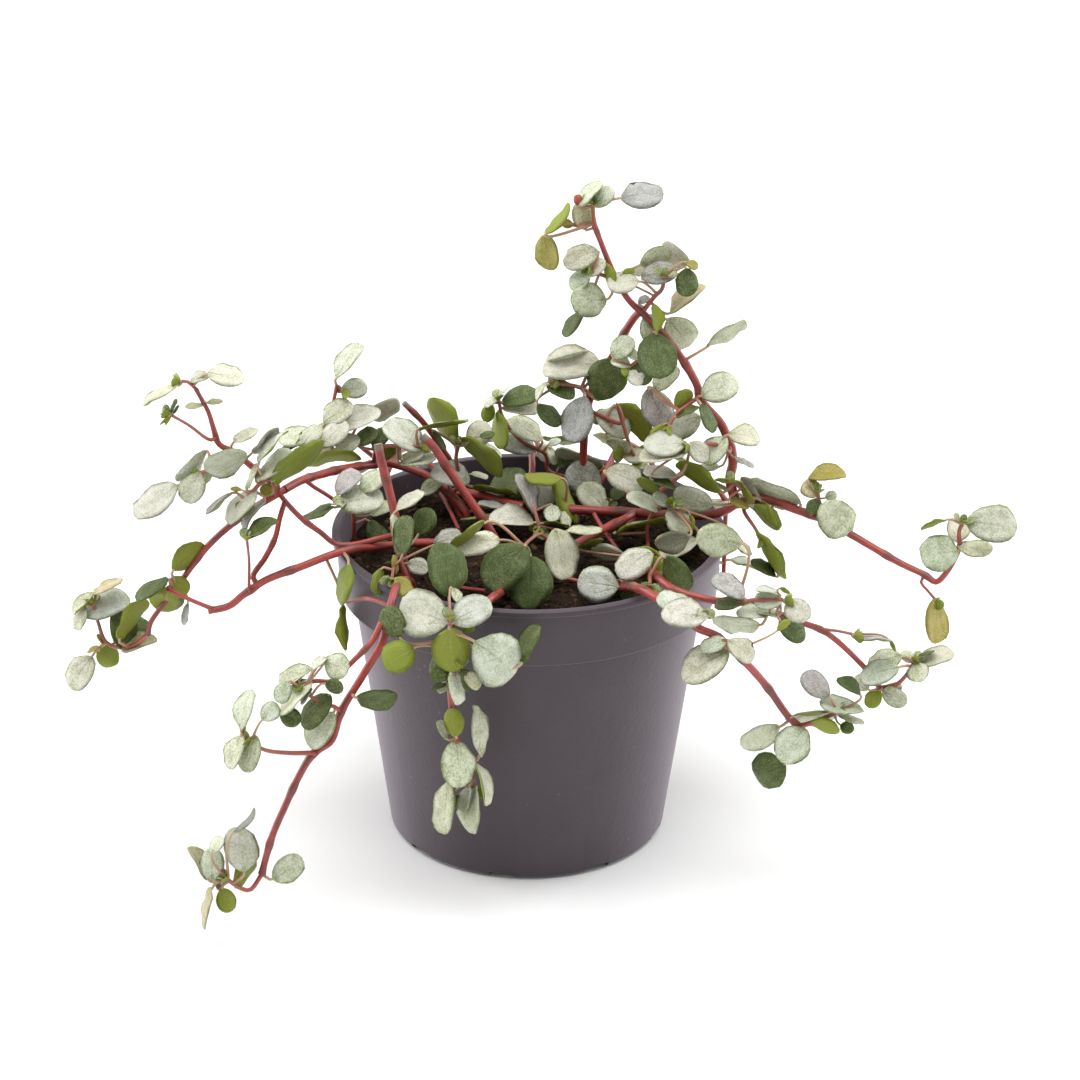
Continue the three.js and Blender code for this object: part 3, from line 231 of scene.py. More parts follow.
def shown(places):
    """The pixels at which places show."""
    lines = np.asarray(places) - EYE
    across, above = lines @ CAMERA_X, lines @ CAMERA_Y
    return np.stack([across, -above], -1) * (FOCAL / (lines @ AHEAD))[..., None] + PICTURE / 2


print("lens", round(camera_data.lens, 1), "mm")

# %% [markdown]
# ## What grows where
# These rows say where every stem and leaf of the plant is. A stem has its radius at its first and last
# point and its route. A sprig has the stem that it is one piece with, its twig's radius and route, and its
# leaves: the pixels of the blade's foot and tip, the width it shows, its look, and how far it lies behind
# its twig. Looks: W white-silver, S silver, M mauve-grey, D deep green, B beige, Y yellowed, R red bud, and
# G for a leaf that shows its green underside.
# M and D are partly the leaves' own colours and partly painted shade: some leaves that lay in shadow were
# given these darker looks.

# %% Stems
def rows_of(text):
    """The rows in a text such as "450 495 30, 477 495 24". A leaf's look stays a letter."""
    return [[part if part.isalpha() else float(part) for part in row.split()] for row in text.split(",")]


STEMS = {  # the radius at its first and last point, and its route
    "stem_across": (1.15, 1.05, """450 495 30, 477 495 24, 522 507 17, 562 509 14, 600 511 12,
        640 513 9, 690 516 5, 722 512 3, 736 504 3"""),
    "stem_far_right": (1.1, 0.6, """741 502 2.5, 762 499 1, 800 511 -1, 820 518 -2, 850 534 -5,
        900 563 -10, 925 575 -13, 936 582 -15, 946 573 -16, 957 554 -18, 960 545 -19"""),
    "stem_tower_right": (1.2, 0.6, """734 497 4, 730 478 5, 733 462 6, 728 440 7, 721 424 8,
        701 400 10, 697 385 11, 678 353 13, 662 333 14, 647 317 15, 628 299 16, 613 272 17,
        600 240 18, 594 224 18"""),
    "stem_tower_left": (1, 0.9, """588 495 30, 584 470 28, 584 440 26, 589 400 24, 597 378 22.5,
        611 359 21, 622 337 19, 634 318 17"""),
    "stem_right": (1.1, 0.55, """641 560 -8, 653 571 -22, 661 580 -34, 677 591 -39, 716 601 -41,
        755 604 -41, 770 611 -41, 800 622 -41, 825 632 -41, 865 668 -40, 880 688 -39"""),
    "stem_lower_right": (1.15, 0.8, """618 585 -22, 632 587 -33, 645 591 -41, 670 606 -47,
        698 628 -48, 714 635 -48, 745 662 -46, 768 688 -44, 788 716 -43, 798 726 -43"""),
    "stem_front": (1, 0.6, """506 587 -22.5, 499 594 -34, 490 599 -44.5, 471 614 -49, 452 626 -51,
        450 650 -52, 451 700 -49, 454 722 -48, 458 745 -47, 470 772 -45, 475 787 -44"""),
    "stem_cut_left": (1, 1, """406 577 -16, 396 520 -13, 390 494 -12, 382 463 -10, 378 444 -9"""),
    "stem_cut_centre": (1.05, 1, """497 543 1, 478 512 3, 450 472 6, 433 446 8, 422 436 9"""),
    "stem_cut_back": (0.8, 0.7, """462 491 30, 450 462 28, 435 438 26, 421 420 25, 404 403 24"""),
    "stem_cut_front": (0.95, 0.95, """628 517 6, 600 531 0, 572 546 -8"""),
    "stem_left_upper": (1.05, 0.95, """466 513 19, 445 490 22, 425 475 25, 388 463 28, 370 465 23,
        342 469 13, 319 475 5, 300 481 -3, 284 490 -9"""),
    "stem_left_trail": (0.9, 0.55, """272 497 -11, 252 509 -12, 232 524 -12, 208 546 -13,
        187 573 -14, 175 590 -14, 159 610 -14, 151 622 -14, 148 634 -13"""),
    "stem_left_prop": (0.7, 0.6, """339 545 -13, 320 532 -12.5, 300 517 -12, 285 501 -11"""),
    "stem_left_hanging": (0.6, 0.65, """279 502 -11.5, 280 517 -13, 275 538 -15, 265 558 -18,
        253 577 -21"""),
    "stem_left_lower": (1, 0.8, """455 545 0, 437 543 -5, 415 543 -8, 385 546 -12, 344 551 -16.5,
        300 567 -19, 266 580 -21, 252 589 -22, 243 595 -22.5, 229 606 -23, 208 611 -24"""),
    "stem_down_left": (0.95, 0.75, """412 586 -22, 399 582 -34, 392 600 -41, 387 620 -44,
        383 640 -46, 363 675 -49, 341 712 -52, 331 741 -54, 318 750 -55, 311 756 -56, 298 778 -57,
        286 804 -58, 273 834 -59, 265 861 -60, 262 874 -60.5"""),
    "stem_down_left_side": (0.75, 0.45, """384 618 -47.5, 373 640 -50, 366 648 -51, 348 666 -52,
        332 681 -53, 315 681 -54, 300 686 -54"""),
    "stem_upper_left": (0.9, 0.45, """276 485 -12, 264 476 -12, 250 465 -12, 235 453 -13,
        219 444 -13, 214 430 -13, 208 411 -13, 203 402 -13, 196 389 -13"""),
    "stem_back_left": (0.6, 0.45, """378 460 27, 360 446 27, 341 431 27, 334 420 27, 334 400 27,
        337 386 27"""),
}
STEMS = {name: {"radius": (first, last), "route": rows_of(route)}
         for name, (first, last, route) in STEMS.items()}
print(len(STEMS), "stems")

# %% Sprigs and their leaves
SPRIGS = {  # the stem that it is one piece with, its twig's radius and route, and its leaves
    "sprig_tower_tip": ("", 0.5, """597 233 18, 594 220 18, 593 206 17""", """
        620 198 661 194 26 M, 578 207 600 183 13 S, 592 206 612 190 18 S, 584 230 581 203 21 B,
        545 234 568 205 8 G, 545 234 553 268 22 Y, 573 226 563 222 9 Y, 578 206 578 195 9 R"""),
    "sprig_tower_west": ("", 0.5, """616 285 16.5, 605 276 16, 592 272 15""", """
        598 250 566 264 24 S, 590 270 572 288 17 S, 588 276 604 261 15 S, 607 300 573 300 34 S,
        604 262 611 286 11 G, 583 311 565 335 13 D, 588 276 583 268 8 G"""),
    "sprig_tower_east": ("", 0.55, """647 306 15, 655 296 14, 662 289 13, 664 278 12""", """
        639 281 609 284 22 W, 640 265 669 252 20 S, 627 274 661 261 13 S, 641 278 675 271 24 M,
        690 265 665 244 18 W, 686 262 697 268 9 Y, 687 268 686 295 22 D, 670 314 704 288 16 B,
        638 303 649 298 8 M, 622 274 634 271 7 G"""),
    "sprig_tower_middle": ("", 0.5, """655 330 12.5, 648 345 11, 638 360 10, 631 366 10""", """
        657 333 653 306 12 G, 652 346 650 316 22 S 3, 668 318 688 345 32 S 2, 655 332 660 376 38 D,
        612 358 632 340 20 S, 640 360 620 351 10 S, 631 366 612 361 12 S, 631 366 650 380 22 D,
        632 366 640 384 18 S"""),
    "sprig_tower_low": ("", 0.55, """589 398 22.5, 585 390 21, 575 386 19, 560 384 18""", """
        602 366 546 370 32 W, 590 354 550 362 13 W, 546 386 573 396 18 D, 547 382 537 399 7 S,
        600 400 612 362 39 D -3, 585 396 573 440 31 M -2, 537 404 559 424 17 D,
        594 420 608 412 12 G 3"""),
    "sprig_tower_side": ("", 0.5, """697 398 8.5, 689 404 8, 678 412 6, 670 424 5""", """
        655 391 677 369 18 S, 701 396 736 384 28 S, 707 347 744 323 14 S, 648 388 664 425 30 M,
        676 409 691 392 14 G, 701 417 664 432 28 W, 701 404 713 431 14 D, 664 424 655 441 14 G,
        675 417 698 408 8 D"""),
    "sprig_inner_tower": ("", 0.5, """622 423 20, 617 404 19, 628 440 20, 634 456 20""", """
        597 412 627 434 26 W, 616 404 647 440 20 G 3, 606 440 630 448 14 S, 628 443 617 461 12 G,
        622 456 646 456 16 S, 594 424 602 416 10 G"""),
    "sprig_crown_right": ("", 0.55, """728 452 3, 718 445 2, 706 444 1, 691 446 0""", """
        728 434 758 441 20 S, 727 437 706 462 23 S, 690 442 706 460 19 W, 686 444 646 446 24 W,
        688 452 642 459 22 W, 720 467 698 467 9 S, 733 457 753 467 6 M, 677 476 645 472 13 W,
        652 480 674 488 9 D"""),
    "sprig_rim_right": ("", 0.6, """748 502 0, 748 494 -1, 741 488 -2, 735 482 -2""", """
        721 493 679 465 17 G, 713 504 676 493 27 W, 715 480 741 484 4 G, 740 484 752 503 7 G,
        768 520 744 479 15 M -2, 753 505 777 529 16 G, 761 500 776 524 8 G, 729 500 748 507 9 Y,
        801 503 752 482 22 W"""),
    "sprig_right_drop": ("stem_far_right", 0.45, """744 511 0, 755 528 -2, 760 537 -3""", """
        755 528 783 577 13 G, 776 577 752 562 12 D"""),
    "sprig_curled_right": ("", 0.5, """812 513 -3, 818 504 -4, 818 494 -4""", """
        852 533 823 507 36 S, 820 499 809 512 14 D, 825 498 836 494 10 S, 817 497 805 482 18 B,
        808 478 844 476 15 Y"""),
    "sprig_far_right": ("", 0.5, """961 541 -19, 959 532 -19, 962 524 -20""", """
        959 551 922 555 35 S, 958 543 959 519 23 W, 966 521 1014 529 36 W, 958 548 991 549 17 S,
        947 519 922 528 3 G"""),
    "leaf_hanging_right": ("stem_far_right", 0.35, """921 582 -13, 928 591 -15, 934 598 -15""", """
        934 598 935 641 22 Y"""),
    "sprig_right_rim_front": ("", 0.5, """722 600 -43, 735 604 -44.5, 752 600 -45, 768 600 -45,
        783 600 -45""", """
        745 598 714 579 20 M, 745 602 716 606 14 D, 783 600 756 602 19 W, 780 594 757 589 7 W,
        785 603 808 617 24 W, 779 588 789 593 5 G, 768 616 738 613 13 S, 760 626 715 621 16 S,
        779 616 758 612 9 S, 779 620 802 640 20 D"""),
    "leaf_hooked_right": ("stem_right", 0.35, """824 629 -42, 838 631 -42, 852 634 -42""", """
        854 638 891 641 6 M, 889 640 895 651 4 G"""),
    "sprig_right_end": ("", 0.5, """886 690 -39, 897 684 -39.5, 907 674 -40, 914 663 -40""", """
        902 656 871 668 22 S, 899 667 863 680 24 S, 868 690 856 677 16 S, 882 691 905 703 19 S,
        880 690 868 706 16 G, 884 694 901 686 12 S, 914 662 902 653 11 S, 918 664 952 654 18 W,
        914 663 921 680 22 S, 918 656 934 651 3 D"""),
    "sprig_lower_right_node": ("stem_lower_right", 0.5, """721 641 -50, 728 641 -51.5, 736 650 -51.5""", """
        728 640 702 650 16 S, 728 640 751 660 22 W, 729 651 686 679 32 S, 777 631 790 621 8 G"""),
    "sprig_lower_right_end": ("", 0.55, """802 729 -43.5, 808 724 -44, 824 718 -44, 838 712 -44""", """
        780 727 743 744 21 S, 804 727 783 760 34 S, 810 722 838 731 14 G, 785 719 836 712 11 S,
        838 714 863 722 7 S, 864 711 822 703 17 W, 829 697 804 675 23 M, 861 695 838 680 13 D,
        840 725 853 730 12 D, 786 764 756 776 37 D"""),
    "sprig_front_rosette": ("", 0.55, """449 635 -53, 450 627 -54, 450 621 -54""", """
        448 623 402 606 47 W, 400 638 388 608 24 D 3, 415 647 386 664 31 G, 449 628 452 669 38 G -1,
        474 641 514 671 52 W, 453 623 489 604 30 W, 522 663 537 627 17 D 2, 452 640 436 676 17 D 4,
        462 632 474 628 8 G, 449 597 441 546 38 D 6, 452 588 459 602 10 S 6"""),
    "sprig_front_middle": ("stem_front", 0.5, """452 683 -52.5, 455 674 -53.5, 458 668 -53.5""", """
        450 671 432 676 16 D, 452 668 458 703 16 S, 462 668 468 690 12 D, 464 672 478 688 14 S,
        450 682 439 692 9 S, 447 684 432 690 6 D"""),
    "sprig_front_lower": ("", 0.5, """456 733 -50, 458 740 -51, 466 760 -50, 475 785 -48.5""", """
        456 737 451 710 19 G, 447 740 438 722 11 S, 480 758 476 708 17 S, 455 740 459 785 34 S,
        449 781 444 831 21 S, 470 785 463 811 14 S, 476 784 473 831 19 S, 476 762 487 803 10 S,
        456 790 455 808 5 G"""),
    "sprig_down_left_node": ("", 0.45, """335 707 -53.5, 326 704 -54, 316 700 -54.5, 303 690 -55""", """
        356 698 395 697 21 D -2, 325 683 342 690 14 D, 330 694 306 727 24 D, 334 712 312 746 26 S,
        312 668 281 683 14 S, 287 681 280 702 17 S, 312 680 283 714 16 S, 280 715 300 720 18 D,
        312 688 302 704 6 M, 325 662 347 670 26 S, 327 657 313 668 9 S"""),
    "sprig_down_left_side": ("", 0.5, """314 753 -57, 290 753 -58, 265 750 -58.5, 251 742 -59""", """
        262 720 277 705 18 S, 240 731 251 692 17 S, 244 734 240 724 6 G, 243 735 230 767 18 S,
        256 735 246 770 22 S"""),
    "sprig_down_left_tip": ("", 0.5, """260 880 -61, 250 890 -62, 240 888 -62.5, 228 880 -63""", """
        245 872 235 830 32 W, 233 832 254 810 6 M, 212 881 213 850 24 S, 212 853 222 838 12 S,
        208 880 189 849 13 B, 212 887 204 927 7 B, 217 890 227 871 8 D, 222 888 229 911 19 G,
        235 888 255 862 16 G, 273 880 300 859 25 S"""),
    "sprig_far_left": ("", 0.5, """146 636 -12, 136 644 -10, 122 648 -8, 106 642 -6, 98 622 -5,
        94 606 -4""", """
        82 616 127 600 27 W, 92 594 121 580 10 B, 95 592 74 612 9 S, 84 605 78 629 13 S,
        123 650 118 612 25 D, 118 640 145 602 16 G, 116 642 148 625 28 D, 122 652 155 640 14 B,
        104 645 97 635 6 Y, 102 647 88 653 5 Y, 98 650 117 662 22 G, 92 656 74 688 25 S"""),
    "sprig_left_trail_node": ("stem_left_trail", 0.5, """178 583 -15.5, 172 586 -16.5, 167 588 -17""", """
        172 570 203 547 22 G, 170 578 187 592 18 G, 168 588 165 610 34 G, 168 578 138 599 14 D,
        188 603 184 624 6 M"""),
    "sprig_left_hanging": ("stem_left_lower", 0.35, """249 589 -24, 249 580 -23, 249 560 -23,
        247 541 -23""", """
        247 539 276 521 13 D, 349 563 342 603 16 G, 343 604 346 648 12 G"""),
    "sprig_upper_left_tip": ("stem_upper_left", 0.4, """194 386 -13, 188 382 -13, 182 381 -13""", """
        207 374 242 378 22 S, 190 382 208 376 11 S, 180 385 145 404 9 S, 206 403 222 401 6 B,
        204 405 186 407 6 B"""),
    "sprig_upper_left_side": ("stem_upper_left", 0.4, """212 440 -14.5, 206 438 -15, 190 426 -15,
        171 415 -15""", """
        171 414 177 400 4 D, 171 416 160 424 3 G, 172 415 179 406 3 D, 171 416 166 425 3 G"""),
    "sprig_upper_left_low": ("", 0.5, """232 457 -15.5, 222 464 -16, 210 470 -16, 198 474 -16,
        195 482 -16""", """
        247 453 206 466 26 W, 206 450 178 479 14 S, 233 442 257 430 11 S, 178 485 136 513 25 W,
        200 472 187 501 25 S, 198 476 194 470 7 G, 207 483 206 470 10 S"""),
    "sprig_left_fan": ("", 0.55, """272 478 -15, 262 482 -16, 254 490 -16, 246 500 -16""", """
        252 453 277 429 11 M, 258 463 286 432 6 S, 272 482 320 442 20 G, 255 480 283 462 14 S,
        246 490 257 465 6 S, 257 490 229 521 18 S, 254 500 230 520 7 G, 266 500 245 529 8 M,
        272 495 262 486 12 Y, 277 486 276 472 9 Y, 264 474 290 452 16 S 3, 232 492 208 514 4 M,
        242 490 231 489 5 Y"""),
    "sprig_back_left_low": ("", 0.5, """343 437 25, 333 443 23, 318 446 22, 302 442 21""", """
        316 432 281 441 20 S, 324 424 350 404 24 S, 305 438 281 453 6 D, 318 448 333 425 22 S,
        316 459 335 450 13 M, 303 466 358 460 8 G, 338 430 378 412 22 W, 366 416 397 401 18 W,
        322 446 346 424 22 W -4, 300 446 320 428 18 W -4, 336 454 358 438 18 S -3"""),
    "sprig_back_left_top": ("stem_back_left", 0.4, """338 384 27, 341 389 27""", """
        335 379 361 347 18 S, 341 390 366 388 20 W, 341 393 336 386 7 G"""),
    "sprig_left_rim": ("", 0.55, """355 549 0.5, 354 530 0, 352 512 -2, 345 506 -3""", """
        336 503 381 499 28 S, 336 494 359 474 19 M 2, 361 492 383 474 20 S 2, 336 507 304 519 9 D,
        333 504 320 507 3 D, 369 520 384 545 18 D 2, 370 515 393 505 13 S"""),
    "sprig_back_middle": ("", 0.5, """374 461 24, 376 450 22, 385 446 20, 400 446 18, 420 446 18""", """
        356 444 376 431 16 D, 372 446 387 430 16 D, 422 450 386 426 28 W, 380 461 398 447 12 G,
        400 464 434 457 13 S, 418 428 466 422 3 G, 402 462 424 452 12 S"""),
    "sprig_crown_back": ("", 0.55, """462 484 22, 458 470 20, 456 458 19, 458 446 18""", """
        455 446 431 401 23 G, 459 439 500 474 17 G, 468 444 488 425 24 W, 478 441 499 459 13 S,
        479 436 494 434 8 D, 470 482 433 473 24 W -3, 470 474 487 478 6 S, 443 481 423 494 14 S,
        472 487 514 494 5 G, 432 431 445 449 5 D, 488 502 522 472 30 D 4"""),
    "sprig_back_top": ("", 0.5, """548 470 34, 546 455 34, 520 440 33, 502 415 32, 499 401 32""", """
        501 403 537 395 20 D, 502 408 537 410 18 S, 498 397 509 386 3 S, 498 398 485 406 8 S,
        492 404 486 421 13 G, 498 411 500 447 17 G, 543 440 507 423 22 S, 536 451 500 439 22 M,
        548 447 555 464 10 S, 604 465 558 451 14 W, 552 463 541 446 16 W, 558 468 572 455 12 D,
        548 445 560 440 8 S"""),
    "sprig_centre": ("", 0.5, """524 504 14, 530 498 11, 535 512 8, 539 526 6""", """
        535 514 516 477 15 M, 552 508 530 481 28 W, 578 524 560 480 18 G, 562 478 527 476 13 G,
        553 505 552 521 17 S, 534 523 491 520 20 W, 502 514 463 520 9 S, 513 510 480 503 6 M,
        533 530 548 537 11 S, 543 523 568 527 3 G, 570 528 561 513 11 S, 538 524 530 530 9 G"""),
    "sprig_centre_front": ("", 0.45, """548 540 -16, 540 534 -18, 530 540 -21, 524 546 -24""", """
        556 528 564 577 33 W, 525 546 490 586 42 D -3, 531 556 529 606 42 D -1,
        500 540 455 548 22 S 2, 486 522 453 547 8 G 4, 563 532 600 532 10 S 1,
        556 588 577 600 15 D 1, 549 586 541 601 14 D 1"""),
    "sprig_inner_right": ("", 0.5, """648 545 0, 647 528 0, 652 514 0, 662 506 -2, 671 505 -3""", """
        613 533 662 519 5 G 1, 661 511 629 495 16 S, 669 506 655 494 14 S, 668 508 686 532 24 S 1,
        690 514 692 530 5 G, 674 504 668 499 9 G, 660 493 638 480 12 G 3, 606 471 642 486 28 W 8,
        690 536 657 543 22 W, 699 541 662 556 20 S, 742 543 699 537 32 S, 742 541 750 555 4 M"""),
    "sprig_inner_front": ("", 0.5, """650 565 -25, 650 576 -31, 650 585 -36""", """
        624 556 594 548 17 W 3, 652 552 620 575 28 W, 651 556 660 573 14 G, 665 556 688 588 26 D -10,
        649 580 672 579 16 D, 649 585 624 598 30 D, 651 586 674 590 11 W, 578 546 602 540 8 G 5,
        632 550 658 556 10 G 2"""),
    "leaf_on_soil": ("stem_lower_right", 0.4, """622 592 -24, 619 587 -26""", """
        619 587 580 582 36 W"""),
    "sprig_rim_right_front": ("", 0.45, """678 603 -44, 690 608 -47, 700 612 -50""", """
        696 612 659 598 20 W, 708 618 664 613 28 W"""),
    "sprig_cut_left": ("", 0.4, """398 556 -21, 394 566 -26, 392 578 -31""", """
        397 556 393 516 11 S, 403 556 408 518 20 D, 407 563 427 570 17 W, 381 568 379 594 13 G,
        396 577 412 598 17 Y, 396 575 394 556 7 Y, 418 535 430 510 22 D 4, 434 545 460 535 18 M 6,
        396 511 423 494 13 W 4"""),
    "sprig_inner_back": ("stem_tower_left", 0.45, """589 505 29, 597 500 26, 604 502 22""", """
        598 493 572 466 32 M -7, 607 511 580 488 26 S -5, 612 500 622 488 14 D -1"""),
}
SPRIGS = {name: {"on": on, "radius": radius, "route": rows_of(route), "leaves": rows_of(leaves)}
          for name, (on, radius, route, leaves) in SPRIGS.items()}
print(len(SPRIGS), "sprigs,", sum(len(sprig["leaves"]) for sprig in SPRIGS.values()), "leaves in sight")

# %% Back shoots and bare twigs
BACK_SHOOTS = {  # degrees round from the back, how far out and down they reach, and their pairs of leaves
    "shoot_back_middle": {"round": 1, "reach": 57, "end": 34, "pairs": 6},
    "shoot_back_right": {"round": 31, "reach": 56, "end": 46, "pairs": 5},
    "shoot_back_left": {"round": -38, "reach": 56, "end": 30, "pairs": 6},
    "shoot_side_right": {"round": 60, "reach": 53, "end": 50, "pairs": 4},
}

BARE_TWIGS = {  # thin stems without leaves of their own, by the piece that they are part of
    "stem_front": ["440 583 -21, 462 588 -24, 485 591 -26"],
    "stem_lower_right": ["553 577 -18, 568 579 -19, 582 582 -20"],
    "stem_across": ["618 550 -1, 603 529 4, 594 514 9"],
    "stem_left_lower": ["348 601 -20, 360 599 -26, 371 599 -31, 388 605 -37",
                        "213 609 -24, 198 603 -22.5, 180 595 -19.5, 168 589 -17.5"],
    "stem_left_upper": ["305 480 -1.5, 314 487 -0.5, 324 493 0, 336 501 0"],
    "stem_back_left": ["441 494 27, 450 511 18, 459 530 7.4"],
}
print(len(BACK_SHOOTS), "back shoots,", sum(len(routes) for routes in BARE_TWIGS.values()), "bare twigs")

# %% [markdown]
# ## Smooth routes
# A route has to pass through every point that was read, and a curve that is only pulled towards its points
# would miss the leaves. A spline through the points is used, of the centripetal kind, because that makes no
# loops where two points lie close together. A route that starts in the pot rises out of the peat, and any
# other one starts on the nearest stem that is already there.

# %% Routes through points
SOIL_TOP = 68  # millimetres, as everything here
ROOT_DEPTH = 1
ROOTING = 1.5  # a start this near to the peat or to a stem touches it
WALL_TOP_RADIUS = 40.3  # of the pot, under its collar
RIM_RADIUS = 45
SAMPLES = 60
NO_SPAN = 1e-4  # stands for two points in the same place


def spline(points, shares):
    """Places on the centripetal spline through points. A share runs from 0 at its start to 1."""
    points = np.asarray(points, float)
    padded = np.vstack([2 * points[0] - points[1], points, 2 * points[-1] - points[-2]])
    spans = np.linalg.norm(np.diff(padded, axis=0), axis=1) ** 0.5
    spans = np.maximum(spans, NO_SPAN)
    places = []
    for share in np.atleast_1d(shares):
        span = min(int(share * (len(points) - 1)), len(points) - 2)
        t = share * (len(points) - 1) - span
        p0, p1, p2, p3 = padded[span:span + 4]
        d0, d1, d2 = spans[span:span + 3]
        slope1 = ((p1 - p0) / d0 - (p2 - p0) / (d0 + d1) + (p2 - p1) / d1) * d1
        slope2 = ((p2 - p1) / d1 - (p3 - p1) / (d1 + d2) + (p3 - p2) / d2) * d1
        places.append((2 * t**3 - 3 * t**2 + 1) * p1 + (t**3 - 2 * t**2 + t) * slope1
                      + (3 * t**2 - 2 * t**3) * p2 + (t**3 - t**2) * slope2)
    return np.array(places)


def nearest_stem(target, curves):
    """The name and the nearest place of the stem that passes closest to a point."""
    best = None
    for name, curve in curves.items():
        gaps = np.linalg.norm(curve - target, axis=1)
        if best is None or gaps.min() < best[2]:
            best = (name, curve[gaps.argmin()], gaps.min())
    return best


def rooted_route(route, curves):
    points = [seen(*point) for point in route]
    start = points[0]
    if math.hypot(start[0], start[1]) < WALL_TOP_RADIUS and start[2] < SOIL_TOP + ROOTING:
        return [np.array([start[0], start[1], SOIL_TOP - ROOT_DEPTH]), *points]
    found = nearest_stem(start, curves)
    if found is None:
        return points
    return [found[1], *(points[1:] if found[2] < ROOTING else points)]


coarse = {}  # each stem at the steps that the sprigs are measured from
stem_points = {}
for name, stem in STEMS.items():
    stem_points[name] = rooted_route(stem["route"], coarse)
    coarse[name] = spline(stem_points[name], np.linspace(0, 1, SAMPLES + 1))
sprig_points = {name: rooted_route(sprig["route"], coarse) for name, sprig in SPRIGS.items()}
sprig_parent = {name: SPRIGS[name]["on"] or nearest_stem(points[0], coarse)[0]
                for name, points in sprig_points.items()}
print("routes:", len(stem_points), "stems and", len(sprig_points), "twigs")

# %% [markdown]
# ## How each leaf lies
# A leaf of this plant is about four fifths as wide as it is long. One that looks broad for its length is
# therefore tipped towards or away from the eye, and one that looks narrow is rolled about its own length.
# The two ways to tip or roll it look the same, so the solid model settles which one it is: the thickest
# place of the blade is a corner of its mesh, and the leaf is put where both its faces meet such a corner.

# %% Ways for a leaf to lie
LEAF_SHAPE = 0.82  # width as a share of length


def lie_of(row, lean):
    """The unit vectors of a leaf and its length for each millimetre of distance from the eye."""
    base_u, base_v, tip_u, tip_v, shown_width, look = row[:6]
    sight, tip_line = sight_line(base_u, base_v), sight_line(tip_u, tip_v)
    along = tip_line / (tip_line @ sight) - sight
    apparent_length = np.linalg.norm(along)
    apparent_width = shown_width / FOCAL
    along = along / apparent_length
    across = np.cross(along, sight)
    skyward = -1 if look == "G" else 1
    length = max(apparent_length, apparent_width / LEAF_SHAPE)
    breadth = min(1, apparent_width / (length * LEAF_SHAPE))
    tipping = math.sqrt(max(0, 1 - (apparent_length / length) ** 2)) * np.sign(along[2]) * skyward * lean
    rolling = math.sqrt(1 - breadth**2) * np.sign(across[2]) * skyward * lean
    axis = along * (apparent_length / length) + sight * tipping
    side = across * breadth + sight * rolling
    normal = np.cross(axis, side)
    if (normal @ sight) * skyward > 0:
        normal, side = -normal, -side
    return {"sight": sight, "axis": axis, "side": side, "normal": normal, "length": length}


print("a leaf's width is", LEAF_SHAPE, "of its length")

# %% Leaf places
CROWN = 0.5  # share of the length at which the solid model's blade is thickest
HALF_THICK = 0.4
MATCH = 0.2  # millimetres between a blade's crown and the solid model's corner
CURVE_POINTS = 200


def corners_of(node):
    corners = np.array([corner.co for corner in frame["nodes"][node].data.vertices])
    return np.unique(np.round(corners / MM, 3), axis=0)


def distance_in_solid(lie, corners):
    """How far from the eye the solid model's leaf has its foot, and how well it fits, or None."""
    lift = lie["normal"] * HALF_THICK
    path = lie["sight"] + lie["axis"] * lie["length"] * CROWN
    tops = corners - EYE - lift
    distances = tops @ path / (path @ path)
    misses = np.linalg.norm(tops - distances[:, None] * path, axis=1)
    best = None
    for at in np.flatnonzero(misses < MATCH):
        below = EYE + distances[at] * path - lift
        miss = max(misses[at], np.linalg.norm(corners - below, axis=1).min())
        if miss < MATCH and (best is None or miss < best[1]):
            best = (distances[at], miss)
    return best


corners = {node: corners_of(node) for node in frame["nodes"]}
curves = {name: spline(points, np.linspace(0, 1, CURVE_POINTS))
          for name, points in {**stem_points, **sprig_points}.items()}
leaves = []
loose = 0
for name, sprig in SPRIGS.items():
    node = sprig["on"] or name
    for row in sprig["leaves"]:
        found = [(hit[1], hit[0], lie, body, curve)
                 for body, curve in ((node, name), (sprig_parent[name],) * 2)
                 for lie in (lie_of(row, 1), lie_of(row, -1))
                 if (hit := distance_in_solid(lie, corners[body])) is not None]
        if found:
            _, distance, lie, body, curve = min(found, key=lambda hit: hit[0])
            if body == sprig_parent[name]:
                foot = EYE + lie["sight"] * distance
                curve = min((name, body), key=lambda near: np.linalg.norm(curves[near] - foot, axis=1).min())
        else:
            loose += 1
            lie, body, curve = lie_of(row, 1), node, name
            pixels = shown(curves[name])
            anchor = curves[name][np.linalg.norm(pixels - row[:2], axis=1).argmin()]
            depth = anchor[1] + (row[6] if len(row) > 6 else 0)
            distance = (depth - EYE[1]) / lie["sight"][1]
        leaves.append({**lie, "node": body, "curve": curve, "look": row[5],
                       "base": EYE + lie["sight"] * distance, "length": lie["length"] * distance})
print(len(leaves), "leaves,", loose, "of them small ones that the solid model leaves out")

# %% [markdown]
# ## Shoots at the back
# The photograph shows only the front. The real plant hangs over its pot all round, so four more shoots go
# over the back and one side, with pairs of leaves that face each other in turn crosswise, as this plant
# grows them.

# %% Back shoots
BACK_CURVE_POINTS = 400
BACK_RADIUS = 0.85
BACK_LOOKS = "SWSD"
BACK_ROOT, BACK_CREST, BACK_DROP, BACK_WANDER = 25, 78.5, 9, 2
BACK_BARE, BACK_LENGTH, BACK_SHRINK, BACK_SWEEP, BACK_TILT, BACK_PETIOLE = 0.36, 10.5, 0.05, 0.45, 0.7, 2.2
SHIFTS = [0, -1, 1, -2, 2, -3, 3, -4.5, 4.5, -6, 6]  # how far out the solid model may have put a leaf
SKY = np.array([0, 0, 1])


